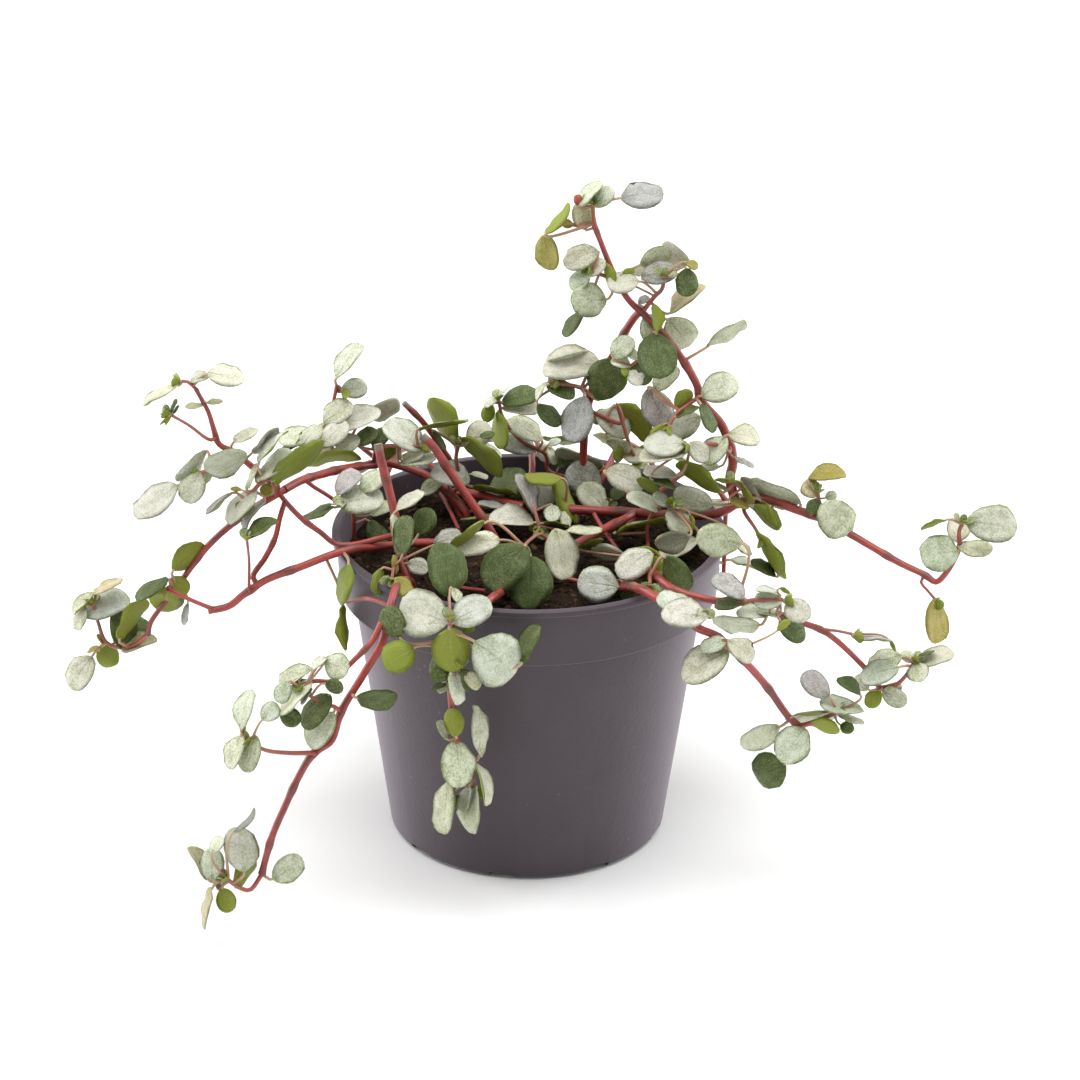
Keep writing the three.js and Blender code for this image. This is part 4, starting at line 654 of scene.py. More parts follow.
def back_points(shoot):
    turn = math.radians(90 - shoot["round"])
    outward = np.array([math.cos(turn), math.sin(turn), 0])
    sideways = np.array([-math.sin(turn), math.cos(turn), 0])
    reach, end = shoot["reach"], shoot["end"]
    rows = [(BACK_ROOT, SOIL_TOP - ROOT_DEPTH, 0),
            ((BACK_ROOT + RIM_RADIUS) / 2, (SOIL_TOP + BACK_CREST) / 2 + BACK_WANDER, 0),
            (RIM_RADIUS, BACK_CREST, BACK_WANDER / 2), (reach, BACK_CREST - BACK_DROP, -BACK_WANDER / 2),
            (reach + BACK_WANDER, (BACK_CREST + end) / 2, BACK_WANDER), (reach, end, -BACK_WANDER / 2)]
    points = [outward * radius + sideways * aside + SKY * height for radius, height, aside in rows]
    return points, outward, sideways


def along_curve(places):
    return np.concatenate([[0], np.cumsum(np.linalg.norm(np.diff(places, axis=0), axis=1))])


for name, shoot in BACK_SHOOTS.items():
    points, outward, sideways = back_points(shoot)
    curve = spline(points, np.linspace(0, 1, BACK_CURVE_POINTS))
    stem_points[name], curves[name] = points, curve
    reach = along_curve(curve)
    tree = KDTree(len(corners[name]))
    for index, corner in enumerate(corners[name]):
        tree.insert(corner, index)
    tree.balance()
    for pair in range(shoot["pairs"]):
        part = BACK_BARE + (1 - BACK_BARE) * (pair + 0.5) / shoot["pairs"]
        at = int(np.searchsorted(reach, part * reach[-1]))
        anchor, along = curve[at], unit(curve[at] - curve[at - 1])
        for hand in (-1, 1):
            axis = unit((outward if pair % 2 else sideways) * hand + along * BACK_SWEEP)
            sky = SKY + outward * BACK_TILT
            normal = unit(sky - axis * (sky @ axis))
            length = BACK_LENGTH * (1 - BACK_SHRINK * pair)
            first = anchor + axis * BACK_PETIOLE
            shift = min(SHIFTS, key=lambda step: tree.find(
                first + outward * step + axis * length * CROWN + normal * HALF_THICK)[2])
            leaves.append({"axis": axis, "side": np.cross(normal, axis), "normal": normal, "length": length,
                           "base": first + outward * shift, "node": name, "curve": name,
                           "look": BACK_LOOKS[(pair + (hand > 0)) % 4]})
print(len(leaves), "leaves in all")

# %% [markdown]
# ## Young leaves
# A shoot of this plant ends in a bud: two pairs of tiny leaves, one crosswise above the other, that turn
# their upper sides towards the tip. They are still green, so they take look G. They are too small for the
# solid model, so they are placed from the route's end.

# %% Young leaves at the tips
YOUNG_PAIRS = ((2.7, 1.2), (1.8, 0.5))  # millimetres of length, and how far the leaves of a pair lean out
YOUNG_STALK = 0.5
TIP_POINTS = 5  # of the route, which give the tip's direction
SIDE_OF_SKY = np.array([0.2, 0.1, 1])
for name in [*SPRIGS, *BACK_SHOOTS]:
    curve = curves[name]
    tip, along = curve[-1], unit(curve[-1] - curve[-TIP_POINTS])
    crosswise = unit(np.cross(along, SIDE_OF_SKY))
    for length, lean in YOUNG_PAIRS:
        for hand in (-1, 1):
            axis = unit(along + crosswise * hand * lean)
            normal = unit(along - axis * (along @ axis))
            leaves.append({"axis": axis, "side": np.cross(normal, axis), "normal": normal, "length": length,
                           "base": tip + axis * YOUNG_STALK, "curve": name, "look": "G",
                           "node": SPRIGS[name]["on"] or name if name in SPRIGS else name})
        crosswise = np.cross(along, crosswise)
print(len(leaves), "leaves with the young ones")

# %% [markdown]
# ## Finishing a piece
# A Geometry Nodes tree works on a simple source mesh. Its evaluated result is copied to a plain mesh in
# metres, the modifier and the source go, the piece rides on the one body of this object, and the solid
# that it stands for is hidden.

# %% Helpers for trees and pieces
def geometry_tree(name, inputs):
    """A new tree with a geometry input and output and further named inputs: {name: (socket type, value)}."""
    group = bpy.data.node_groups.new(name, "GeometryNodeTree")
    group.interface.new_socket(name="Geometry", in_out="INPUT", socket_type="NodeSocketGeometry")
    group.interface.new_socket(name="Geometry", in_out="OUTPUT", socket_type="NodeSocketGeometry")
    for label, (kind, value) in inputs.items():
        socket = group.interface.new_socket(name=label, in_out="INPUT", socket_type=kind)
        if value is not None:
            socket.default_value = value
    tree = Tree(group)
    source = group.nodes.new("NodeGroupInput")
    return tree, {socket.name: Wire(tree, socket) for socket in source.outputs if socket.name}


def end_tree(tree, geometry, material):
    """Ends a tree in plain, smooth-shaded geometry with its material."""
    plain = tree.node("GeometryNodeRealizeInstances", {}, {"Geometry": geometry})
    smooth = tree.node("GeometryNodeSetShadeSmooth", {}, {"Geometry": plain})
    painted = tree.node("GeometryNodeSetMaterial", {}, {"Geometry": smooth, "Material": material})
    output = tree.tree.nodes.new("NodeGroupOutput")
    tree.tree.links.new(painted.socket, output.inputs[0])
    return tree.tree


def mesh_from(name, places, faces=(), edges=(), values=None):
    """A mesh with places in millimetres, and {name: one value for each point} kept on its points."""
    mesh = bpy.data.meshes.new(name)
    mesh.from_pydata((np.asarray(places) * MM).tolist(), list(edges), list(faces))
    for label, numbers in (values or {}).items():
        numbers = np.asarray(numbers, np.float32)
        vector = numbers.ndim == 2
        kept = mesh.attributes.new(label, "FLOAT_VECTOR" if vector else "FLOAT", "POINT")
        kept.data.foreach_set("vector" if vector else "value", numbers.ravel())
    return mesh


def finished_mesh(piece):
    """A plain mesh of what a piece's modifiers make of it."""
    depsgraph = bpy.context.evaluated_depsgraph_get()
    return bpy.data.meshes.new_from_object(piece.evaluated_get(depsgraph), depsgraph=depsgraph)


def grown(name, mesh, group, **inputs):
    """The plain mesh object that a tree makes of a source mesh."""
    source = placed(name + "_source", mesh)
    modifier = source.modifiers.new("grow", "NODES")
    modifier.node_group = group
    for item in group.interface.items_tree:
        label = item.name.replace(" ", "_")
        if item.in_out == "INPUT" and label in inputs:
            modifier[item.identifier] = inputs[label]
    result = finished_mesh(source)
    result.name = name
    bpy.data.objects.remove(source)
    return placed(name, result)


def seat(piece, slot, *nodes):
    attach(piece, "root")
    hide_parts(*nodes)


print("helpers ready")

# %% [markdown]
# ## The pot's plastic
# The pot is thin, injection-moulded plastic of a warm grey-violet. It is nearly matt, with a very fine
# grain, a few pale specks of recycled material, and faint dusty patches where it was handled. A fine noise
# gives the grain as low bumps. A broad one strays the colour and the roughness, so that the highlight isn't
# even. The specks are the middles of a cell pattern, kept only where a third noise is high.

# %% Pot plastic
def principled(tree, inputs):
    """A Principled shader with its sockets set, joined to the material's output."""
    shader = tree.node("ShaderNodeBsdfPrincipled", {}, inputs)
    output = tree.tree.nodes.new("ShaderNodeOutputMaterial")
    tree.tree.links.new(shader.socket, output.inputs["Surface"])
    return shader


def new_material(name):
    material = bpy.data.materials.new(name)
    material.use_nodes = True
    material.node_tree.nodes.clear()
    return material, Tree(material.node_tree)


def noise_of(tree, place, scale, detail=2.0, roughness=0.5):
    return tree.node("ShaderNodeTexNoise", {}, {"Vector": place, "Scale": scale, "Detail": detail,
                                                "Roughness": roughness})


def bump_of(tree, height, depth, strength=1.0):
    """A normal from a height between 0 and 1, with depth in metres."""
    return tree.node("ShaderNodeBump", {}, {"Height": height, "Distance": depth, "Strength": strength})


pot_plastic, tree = new_material("grey_violet_plastic")
place = tree.object_place()
grain = noise_of(tree, place, 900.0, 3.0)
smudge = noise_of(tree, place, 28.0, 4.0, 0.6)
speck = tree.node("ShaderNodeTexVoronoi", {}, {"Vector": place, "Scale": 260.0}).rise(0.11, 0.05)
sparse = noise_of(tree, place, 61.0).rise(0.56, 0.62)
body = tree.mix(smudge.rise(0.35, 0.7), (0.036, 0.024, 0.031, 1), (0.046, 0.033, 0.041, 1))
colour = tree.mix(speck * sparse * 0.5, body, (0.16, 0.12, 0.12, 1))
principled(tree, {"Base Color": colour, "Roughness": 0.42 + smudge * 0.16 + grain * 0.06,
                  "Specular IOR Level": 0.45, "Sheen Weight": 0.4, "Sheen Roughness": 0.45,
                  "Sheen Tint": (0.86, 0.76, 0.9, 1), "Normal": bump_of(tree, grain, 0.00006)})
print("material:", pot_plastic.name)

# %% [markdown]
# ## The pot
# A thin-walled pot is a profile turned round its axis: foot ring, tapered wall, a step out to the stacking
# collar, and a rolled lip, then back down the inside. Every corner of a moulding has a small radius, so the
# profile rounds them. The nine gaps in the foot ring and the drain holes are cut afterwards, as a mould's
# inserts would leave them.

# %% Turning and cutting
CORNER_STEPS = 3  # of the arc that rounds a corner
CORNER_ROOM = 2.2  # how often a corner's radius fits at least into the edges beside it
MERGE = 1e-7  # metres


def rounded(profile, radius):
    """The profile with each corner but the first and last turned into a short arc."""
    points = [profile[0]]
    for before, corner, after in zip(profile, profile[1:], profile[2:]):
        before, corner, after = (np.array(point, float) for point in (before, corner, after))
        shortest = min(np.linalg.norm(before - corner), np.linalg.norm(after - corner))
        cut = min(radius, shortest / CORNER_ROOM)
        first, last = corner + unit(before - corner) * cut, corner + unit(after - corner) * cut
        for step in range(CORNER_STEPS + 1):
            t = step / CORNER_STEPS
            points.append((1 - t) ** 2 * first + 2 * t * (1 - t) * corner + t**2 * last)
    return [*points, profile[-1]]


def turned(name, profile, turns):
    """A closed solid of revolution. The profile starts and ends on the axis, as (radius, height) pairs."""
    places, faces = [(0, 0, profile[0][1])], []
    inner = profile[1:-1]
    for radius, height in inner:
        angles = np.arange(turns) * 2 * math.pi / turns
        places += [(radius * math.cos(a), radius * math.sin(a), height) for a in angles]
    places.append((0, 0, profile[-1][1]))
    last = len(places) - 1
    for k in range(turns):
        following = (k + 1) % turns
        faces.append((0, 1 + following, 1 + k))
        for ring in range(len(inner) - 1):
            low, high = 1 + ring * turns, 1 + (ring + 1) * turns
            faces.append((low + k, low + following, high + following, high + k))
        top = 1 + (len(inner) - 1) * turns
        faces.append((top + k, top + following, last))
    return placed(name, mesh_from(name, places, faces))


def outward(piece):
    """Turns every face of a closed mesh outwards."""
    work = bmesh.new()
    work.from_mesh(piece.data)
    bmesh.ops.remove_doubles(work, verts=work.verts, dist=MERGE)
    bmesh.ops.recalc_face_normals(work, faces=work.faces)
    work.to_mesh(piece.data)
    work.free()


def cut_away(piece, cutter):
    """Subtracts cutter from piece, and keeps the result as a plain mesh."""
    modifier = piece.modifiers.new("cut", "BOOLEAN")
    modifier.object, modifier.operation, modifier.solver = cutter, "DIFFERENCE", "EXACT"
    result = finished_mesh(piece)
    piece.modifiers.clear()
    piece.data = result
    bpy.data.objects.remove(cutter)


print("profiles can be turned, and solids cut")

# %% Foot gaps and drain holes
BASE_RADIUS, BASE_ROUND = 32.2, 0.9
FOOT_HEIGHT, FOOT_RING, POT_FLOOR = 1.5, 1.8, 1.2
NOTCHES, FIRST_NOTCH, NOTCH_WIDTH = 9, -50, 6.5  # the second in degrees round from the front
DRAINS, DRAIN_RADIUS, DRAIN_CIRCLE, DRAIN_SIDES = 6, 3, 21, 32


def joined_cutters():
    """The foot ring's gaps and the drain holes, as one mesh. Each reaches past both sides of what it cuts."""
    work = bmesh.new()
    foot_middle = BASE_RADIUS - BASE_ROUND - FOOT_RING / 2
    for notch in range(NOTCHES):
        turn = math.radians(FIRST_NOTCH - 90 + 360 / NOTCHES * notch)
        box = bmesh.ops.create_cube(work, size=1)["verts"]
        bmesh.ops.scale(work, verts=box, vec=(FOOT_RING * 3, NOTCH_WIDTH, FOOT_HEIGHT * 2))
        bmesh.ops.translate(work, verts=box, vec=(foot_middle + FOOT_RING / 2, 0, 0))
        bmesh.ops.rotate(work, verts=box, matrix=Matrix.Rotation(turn, 3, "Z"))
    for drain in range(DRAINS):
        turn = 2 * math.pi * drain / DRAINS
        hole = bmesh.ops.create_cone(work, cap_ends=True, segments=DRAIN_SIDES, radius1=DRAIN_RADIUS,
                                     radius2=DRAIN_RADIUS, depth=POT_FLOOR * 4)["verts"]
        bmesh.ops.translate(work, verts=hole, vec=(
            DRAIN_CIRCLE * math.cos(turn), DRAIN_CIRCLE * math.sin(turn), FOOT_HEIGHT + POT_FLOOR / 2))
    bmesh.ops.scale(work, verts=work.verts, vec=(MM, MM, MM))
    bmesh.ops.recalc_face_normals(work, faces=work.faces)
    mesh = bpy.data.meshes.new("cutters")
    work.to_mesh(mesh)
    work.free()
    return placed("cutters", mesh)


print(NOTCHES, "gaps in the foot and", DRAINS, "drain holes")

# %% Pot
POT_HEIGHT, RIM_LIP, COLLAR_FOOT, POT_WALL = 73.5, 1.3, 59.8, 1.1
COLLAR_TOP_RADIUS, COLLAR_FOOT_RADIUS = 44, 43.2
CORNER = 0.35  # radius of the profile's corners
TURNS = 144
SHARP = 35  # degrees between faces that shade apart
foot_outer = BASE_RADIUS - BASE_ROUND
profile = rounded([
    (0, FOOT_HEIGHT), (foot_outer - FOOT_RING, FOOT_HEIGHT), (foot_outer - FOOT_RING, 0), (foot_outer, 0),
    (BASE_RADIUS, BASE_ROUND), (WALL_TOP_RADIUS, COLLAR_FOOT), (COLLAR_FOOT_RADIUS, COLLAR_FOOT),
    (COLLAR_TOP_RADIUS, POT_HEIGHT - RIM_LIP), (RIM_RADIUS, POT_HEIGHT - RIM_LIP), (RIM_RADIUS, POT_HEIGHT),
    (COLLAR_TOP_RADIUS - POT_WALL, POT_HEIGHT), (COLLAR_FOOT_RADIUS - POT_WALL, COLLAR_FOOT + POT_WALL),
    (WALL_TOP_RADIUS - POT_WALL, COLLAR_FOOT + POT_WALL),
    (BASE_RADIUS - POT_WALL, FOOT_HEIGHT + POT_FLOOR), (0, FOOT_HEIGHT + POT_FLOOR)], CORNER)
pot = turned("pot_shell", profile, TURNS)
outward(pot)
cut_away(pot, joined_cutters())
pot.data.materials.clear()
pot.data.materials.append(pot_plastic)
pot.data.shade_smooth()
pot.data.set_sharp_from_angle(angle=math.radians(SHARP))
seat(pot, "pot", "pot")
print("pot:", len(pot.data.polygons), "faces")

# %% [markdown]
# ## The peat's finish
# Damp peat is a brown that is almost black, a little paler where it has dried, and it hardly shines. A
# broad noise mixes the two darkest browns, and a fine one adds the dry grains and the bumps. Bark chips and
# fibres are paler: each crumb keeps a tone, and the same finish serves for all of them.

# %% Peat finish
peat, tree = new_material("dark_peat")
place = tree.object_place()
clod = noise_of(tree, place, 420.0, 5.0, 0.65)
patch = noise_of(tree, place, 90.0, 3.0)
tone = tree.kept("tone")
dark = tree.mix(patch.rise(0.35, 0.65), (0.008, 0.0045, 0.002, 1), (0.018, 0.0105, 0.0055, 1))
worn = tree.mix(clod.rise(0.5, 0.75), dark, (0.07, 0.038, 0.019, 1))
colour = tree.mix(tone, worn, (0.115, 0.068, 0.036, 1))
principled(tree, {"Base Color": colour, "Roughness": 0.78 + clod * 0.2, "Specular IOR Level": 0.12,
                  "Normal": bump_of(tree, clod, 0.0006)})
print("material:", peat.name)

# %% [markdown]
# ## The peat bed
# The pot is filled almost to the rim. The bed is one closed body, turned like the pot, with a little room
# to the wall. Its top has many rings, and a fractal noise lifts them into lumps that fade towards the wall.

# %% Peat bed
SOIL_CLEARANCE = 0.4
SOIL_GAP = 0.3
SOIL_RINGS = 26
SOIL_LUMP = 1.1  # how far the top strays from level
LUMP_WAVES, LUMP_SEED = 0.11, 3.7  # waves for each millimetre, and where in the noise they are taken
LUMP_FRACTAL = (0.9, 2.0, 4)  # how smooth, how much finer each octave is, and how many there are
TOP_BAND = 1  # under the solid's top, where a corner counts as part of the surface
LEVEL_DROP, LEVEL_EDGE = 0.6, 6  # below the solid's top, and how far from the wall the lumps fade
SOIL_TURNS = 96


def soil_height(x, y):
    """The top's height in millimetres, level at its edge."""
    lump = noise.fractal(Vector((x * LUMP_WAVES, y * LUMP_WAVES, LUMP_SEED)), *LUMP_FRACTAL)
    edge = min(1, max(0, (COLLAR_FOOT_RADIUS - math.hypot(x, y)) / LEVEL_EDGE))
    return SOIL_TOP - LEVEL_DROP + SOIL_LUMP * lump * edge


inset = POT_WALL + SOIL_CLEARANCE
soil_foot = FOOT_HEIGHT + POT_FLOOR + SOIL_GAP
soil_step = COLLAR_FOOT + POT_WALL + SOIL_GAP
soil_radius = COLLAR_FOOT_RADIUS - inset
level = SOIL_TOP - LEVEL_DROP
top_rings = [(soil_radius * (1 - ring / SOIL_RINGS), level) for ring in range(SOIL_RINGS)]
bed = turned("soil_bed", [
    (0, soil_foot), (BASE_RADIUS - inset, soil_foot), (WALL_TOP_RADIUS - inset, soil_step),
    (soil_radius, soil_step), *top_rings, (0, level)], SOIL_TURNS)
outward(bed)
for corner in bed.data.vertices:
    if corner.co.z > (SOIL_TOP - TOP_BAND) * MM:
        corner.co.z = soil_height(corner.co.x / MM, corner.co.y / MM) * MM
bed.data.materials.append(peat)
bed.data.shade_smooth()
seat(bed, "soil", "soil")
print("peat bed:", len(bed.data.polygons), "faces")

# %% [markdown]
# ## Crumbs, chips and fibres
# Crumbs of all sizes lie on the peat, with bark chips and short pale fibres that catch the light. Geometry
# Nodes scatter them, because there are thousands. They have five shapes, and each is turned and sized by
# chance, with a fixed seed, so that no two look the same. Most are small, because the chance is raised to a
# power.

# %% Crumbs and fibres
ROUGHNESS = (0.62, 1.15)  # how far a lump's corners stray from a ball


def lump_mesh(name, seed, stretch):
    """A small closed lump with a rough shape, one unit across."""
    work = bmesh.new()
    bmesh.ops.create_icosphere(work, subdivisions=1, radius=0.5)
    draw = random.Random(seed)
    for corner in work.verts:
        corner.co *= draw.uniform(*ROUGHNESS)
        corner.co = Vector([a * b for a, b in zip(corner.co, stretch)])
    mesh = bpy.data.meshes.new(name)
    work.to_mesh(mesh)
    work.free()
    return mesh


STRETCHES = [(1, 0.9, 0.8), (1.2, 0.8, 0.7), (0.9, 1, 0.9), (2.4, 0.5, 0.25), (1.6, 0.9, 0.22)]
CRUMB_TURN = (0.6, 0.6, 6.28)  # radians, the furthest that a crumb tips and turns
MOSTLY_SMALL = 4.0
crumb_shapes = bpy.data.collections.new("crumb_shapes")
bpy.context.scene.collection.children.link(crumb_shapes)
for index, stretch in enumerate(STRETCHES):
    shape = bpy.data.objects.new(f"crumb_{index}", lump_mesh(f"crumb_{index}", index, stretch))
    crumb_shapes.objects.link(shape)

tree, inlet = geometry_tree("crumbs", {
    "Density": ("NodeSocketFloat", 0.9e6), "Smallest": ("NodeSocketFloat", 0.0004),
    "Largest": ("NodeSocketFloat", 0.0024), "Seed": ("NodeSocketInt", 4)})
scatter = tree.node("GeometryNodeDistributePointsOnFaces", {}, {
    "Mesh": inlet["Geometry"], "Density": inlet["Density"], "Seed": inlet["Seed"]})
chance = tree.node("FunctionNodeRandomValue", {}, {2: 0.0, 3: 1.0, "Seed": 11}, 1)
pale = tree.node("FunctionNodeRandomValue", {}, {2: 0.0, 3: 1.0, "Seed": 12}, 1)
turn = tree.node("FunctionNodeRandomValue", {"data_type": "FLOAT_VECTOR"},
                 {0: (0.0, 0.0, 0.0), 1: CRUMB_TURN, "Seed": 13})
pick = tree.node("FunctionNodeRandomValue", {"data_type": "INT"},
                 {4: 0, 5: len(STRETCHES) - 1, "Seed": 14}, 2)
size = inlet["Smallest"] + (inlet["Largest"] - inlet["Smallest"]) * chance**MOSTLY_SMALL
marked = tree.keep(scatter, "tone", pale.rise(0.72, 1.0) * 0.9)
shapes = tree.node("GeometryNodeCollectionInfo", {}, {
    "Collection": crumb_shapes, "Separate Children": True, "Reset Children": True})
spread = tree.node("GeometryNodeInstanceOnPoints", {}, {
    "Points": marked, "Instance": shapes, "Pick Instance": True, "Instance Index": pick,
    "Rotation": tree.node("FunctionNodeEulerToRotation", {}, {0: turn}), "Scale": size * (1.0, 1.0, 1.0)})
crumb_tree = end_tree(tree, spread, peat)

EDGE_CLEAR, FACING_UP = 1.5, 0.3
top_faces = [face for face in bed.data.polygons if face.normal.z > FACING_UP
             and math.hypot(*face.center.xy) < (soil_radius - EDGE_CLEAR) * MM]
used = sorted({corner for face in top_faces for corner in face.vertices})
order = {corner: index for index, corner in enumerate(used)}
patch_mesh = mesh_from("soil_patch", [np.array(bed.data.vertices[corner].co) / MM for corner in used],
                       [[order[corner] for corner in face.vertices] for face in top_faces])
crumbs = grown("soil_crumbs", patch_mesh, crumb_tree)
for shape in list(crumb_shapes.objects):
    bpy.data.objects.remove(shape)
bpy.data.collections.remove(crumb_shapes)
seat(crumbs, "soil", "soil")
print("crumbs:", len(crumbs.data.polygons), "faces")

# %% [markdown]
# ## Stem bark
# Young stems of this plant are round, smooth and glossy, and pinkish red. Long cloudy patches of maroon,
# the stems' colour in shade, are painted along them at random as painted shade. They carry a slightly
# swollen, browner joint wherever leaves or side shoots leave. Leaf stalks fade from that red to a pale straw
# at the blade. Each tube keeps its distance along the stem and its place round it, so that the fine
# lengthwise grain and the painted shade follow every bend.

# %% Bark finish
bark, tree = new_material("red_bark")
along = tree.kept("along")
around = tree.kept("around", 1)
joint = tree.kept("joint")
pale = tree.kept("pale")
dry = tree.kept("dry")
round_x, round_y, _ = around.parts()
grain_place, shade_patch_place = (
    tree.node("ShaderNodeCombineXYZ", {}, {0: round_x * waves, 1: round_y * waves, 2: along * lengthwise})
    for waves, lengthwise in ((2.2, 0.35), (0.5, 0.12)))  # far fewer along a stem than round it
grain = noise_of(tree, grain_place, 2.0, 4.0, 0.6)
shade_patches = noise_of(tree, shade_patch_place, 1.0)
# Painted shade: patches of maroon, the stems' colour in shadow, mixed into the red at random.
red = tree.mix(shade_patches.rise(0.38, 0.62), (0.38, 0.046, 0.036, 1), (0.18, 0.02, 0.018, 1))
red = tree.mix(grain.rise(0.48, 0.78) * 0.4, red, (0.5, 0.16, 0.1, 1))
red = tree.mix(joint * 0.65, red, (0.11, 0.035, 0.02, 1))
red = tree.mix(pale, red, (0.54, 0.4, 0.24, 1))
colour = tree.mix(dry, red, (0.2, 0.15, 0.12, 1))
principled(tree, {"Base Color": colour, "Roughness": 0.3 + grain * 0.16 + dry * 0.3,
                  "Coat Weight": 0.3, "Coat Roughness": 0.2, "Specular IOR Level": 0.5,
                  "Normal": bump_of(tree, grain, 0.00012)})
print("material:", bark.name)

# %% [markdown]
# ## Stems, twigs and leaf stalks
# A stem is a path with a thickness that tapers and swells at its joints. The paths are edges of one mesh
# for each piece; Geometry Nodes turn the edges into curves, and sweep a circle along them whose size is the
# radius kept on each point.

# %% A tree that sweeps tubes
SIDES = 10
tree, inlet = geometry_tree("tubes", {"Sides": ("NodeSocketInt", SIDES)})
curve = tree.node("GeometryNodeMeshToCurve", {}, {"Mesh": inlet["Geometry"]})
ring = tree.node("GeometryNodeCurvePrimitiveCircle", {}, {"Resolution": inlet["Sides"], "Radius": 1.0})
ring = tree.keep(ring, "around", tree.node("GeometryNodeInputPosition"), "FLOAT_VECTOR")
swept = tree.node("GeometryNodeCurveToMesh", {}, {
    "Curve": curve, "Profile Curve": ring, "Scale": tree.stored("half_thickness"), "Fill Caps": True})
tube_tree = end_tree(tree, swept, bark)
print("tree:", tube_tree.name)

# %% Paths of a piece
STEP = 0.9  # millimetres between points of a path
FINE_STEPS = 60  # of the spline for each of its points, before they are spaced evenly
JOINT_SWELL, JOINT_HALF = 0.22, 1.2
WANDER, WANDER_SCALE = 0.05, 0.35  # share of the thickness, and waves for each millimetre
DRY_END = 1.6


class Paths:
    """Paths of one piece, with the values kept on their points."""

    def __init__(self):
        self.places, self.edges = [], []
        self.values = {name: [] for name in ("half_thickness", "along", "joint", "pale", "dry")}

    def add(self, places, radius, joints=(), pale=0.0, dry_end=False):
        reach = along_curve(places)
        first = len(self.places)
        swell = np.zeros(len(places))
        for joint in joints:
            swell = np.maximum(swell, np.exp(-((reach - joint) / JOINT_HALF) ** 2))
        wander = np.array([1 + WANDER * noise.noise(Vector(place * WANDER_SCALE)) for place in places])
        self.places += [*places]
        self.edges += [(first + k, first + k + 1) for k in range(len(places) - 1)]
        self.values["half_thickness"] += [*(radius * wander * (1 + JOINT_SWELL * swell) * MM)]
        self.values["along"] += [*reach]
        self.values["joint"] += [*swell]
        self.values["pale"] += [*(np.zeros(len(places)) + pale)]
        self.values["dry"] += [*((reach > reach[-1] - DRY_END) * (1.0 if dry_end else 0.0))]


def stepped(points):
    """A path along the spline, with its points a step apart."""
    fine = spline(points, np.linspace(0, 1, FINE_STEPS * len(points)))
    reach = along_curve(fine)
    marks = np.linspace(0, reach[-1], max(3, round(reach[-1] / STEP)))
    return np.stack([np.interp(marks, reach, fine[:, axis]) for axis in range(3)], -1)


print("paths can be added to a piece")

# %% Stems as paths
JOINT_SPACING, FIRST_JOINT, LAST_JOINT = 13, 6, 3
JOINT_STRAY = (0.8, 1.2)  # shares of the spacing
JOINT_SEED = 21
BACK_END = 0.6  # share of its radius that a back shoot ends with
JOINED_ENDS = {  # stems whose far end meets another one
    "stem_tower_left": "stem_tower_right", "stem_left_prop": "stem_left_trail",
    "stem_left_hanging": "stem_left_lower",
}
draw = random.Random(JOINT_SEED)
paths = {}
twig_roots = {}
for name, points in sprig_points.items():
    twig_roots.setdefault(sprig_parent[name], []).append(points[0])
for name, points in stem_points.items():
    if name in JOINED_ENDS:
        carrier = curves[JOINED_ENDS[name]]
        points = [*points, carrier[np.linalg.norm(carrier - points[-1], axis=1).argmin()]]
    places = stepped(points)
    reach = along_curve(places)
    joints = [reach[np.linalg.norm(places - root, axis=1).argmin()] for root in twig_roots.get(name, [])]
    mark = draw.uniform(FIRST_JOINT, JOINT_SPACING)
    while mark < reach[-1] - LAST_JOINT:
        if all(abs(mark - joint) > JOINT_SPACING / 2 for joint in joints):
            joints.append(mark)
        mark += draw.uniform(*JOINT_STRAY) * JOINT_SPACING
    first, last = STEMS[name]["radius"] if name in STEMS else (BACK_RADIUS, BACK_RADIUS * BACK_END)
    radius = np.linspace(first, last, len(places))
    paths.setdefault(name, Paths()).add(places, radius, joints, dry_end=name.startswith("stem_cut"))
print(len(paths), "stems and back shoots")

# %% Twigs as paths
BARE_RADIUS = 0.5
TWIG_TAPER = (1.1, 0.8)  # shares of the radius at the first and last point
TWIG_PALE = 0.25  # how pale the bark is at a twig's end
for name, points in sprig_points.items():
    places = stepped(points)
    radius = np.linspace(*[SPRIGS[name]["radius"] * share for share in TWIG_TAPER], len(places))
    node = SPRIGS[name]["on"] or name
    paths.setdefault(node, Paths()).add(places, radius, [along_curve(places)[-1]],
                                        pale=np.linspace(0, TWIG_PALE, len(places)))
for name, routes in BARE_TWIGS.items():
    for route in routes:
        places = stepped([seen(*point) for point in rows_of(route)])
        paths[name].add(places, np.full(len(places), BARE_RADIUS), [0])
print(len(paths), "pieces with their twigs")

# %% Leaf stalks, and the tubes
STALK_RADIUS, STALK_TAPER = 0.34, (1.15, 0.9)
SLIMMEST, FULL_STALK = 0.55, 18  # a stalk's least share, and the leaf's length that adds a whole one
STALK_LEAVES, STALK_ARRIVES = 0.25, 0.3  # where a leaf stalk's curve is pulled from its straight line
STALK_PALE = 0.95
FOOT_INSIDE = 0.06  # share of the blade that the stalk runs under
for leaf in leaves:
    curve = curves[leaf["curve"]]
    anchor = curve[np.linalg.norm(curve - leaf["base"], axis=1).argmin()]
    foot = leaf["base"] + leaf["axis"] * FOOT_INSIDE * leaf["length"]
    gap = np.linalg.norm(foot - anchor)
    reach = leaf["base"] - leaf["axis"] * STALK_ARRIVES * gap
    lift = anchor + (leaf["base"] - anchor) * STALK_LEAVES
    marks = np.linspace(0, 1, max(4, round(gap / STEP)))[:, None]
    places = ((1 - marks) ** 3 * anchor + 3 * marks * (1 - marks) ** 2 * lift
              + 3 * marks**2 * (1 - marks) * reach + marks**3 * foot)
    slim = STALK_RADIUS * min(1, SLIMMEST + leaf["length"] / FULL_STALK)
    paths[leaf["node"]].add(places, slim * np.linspace(*STALK_TAPER, len(places)),
                            pale=np.linspace(TWIG_PALE, STALK_PALE, len(places)))
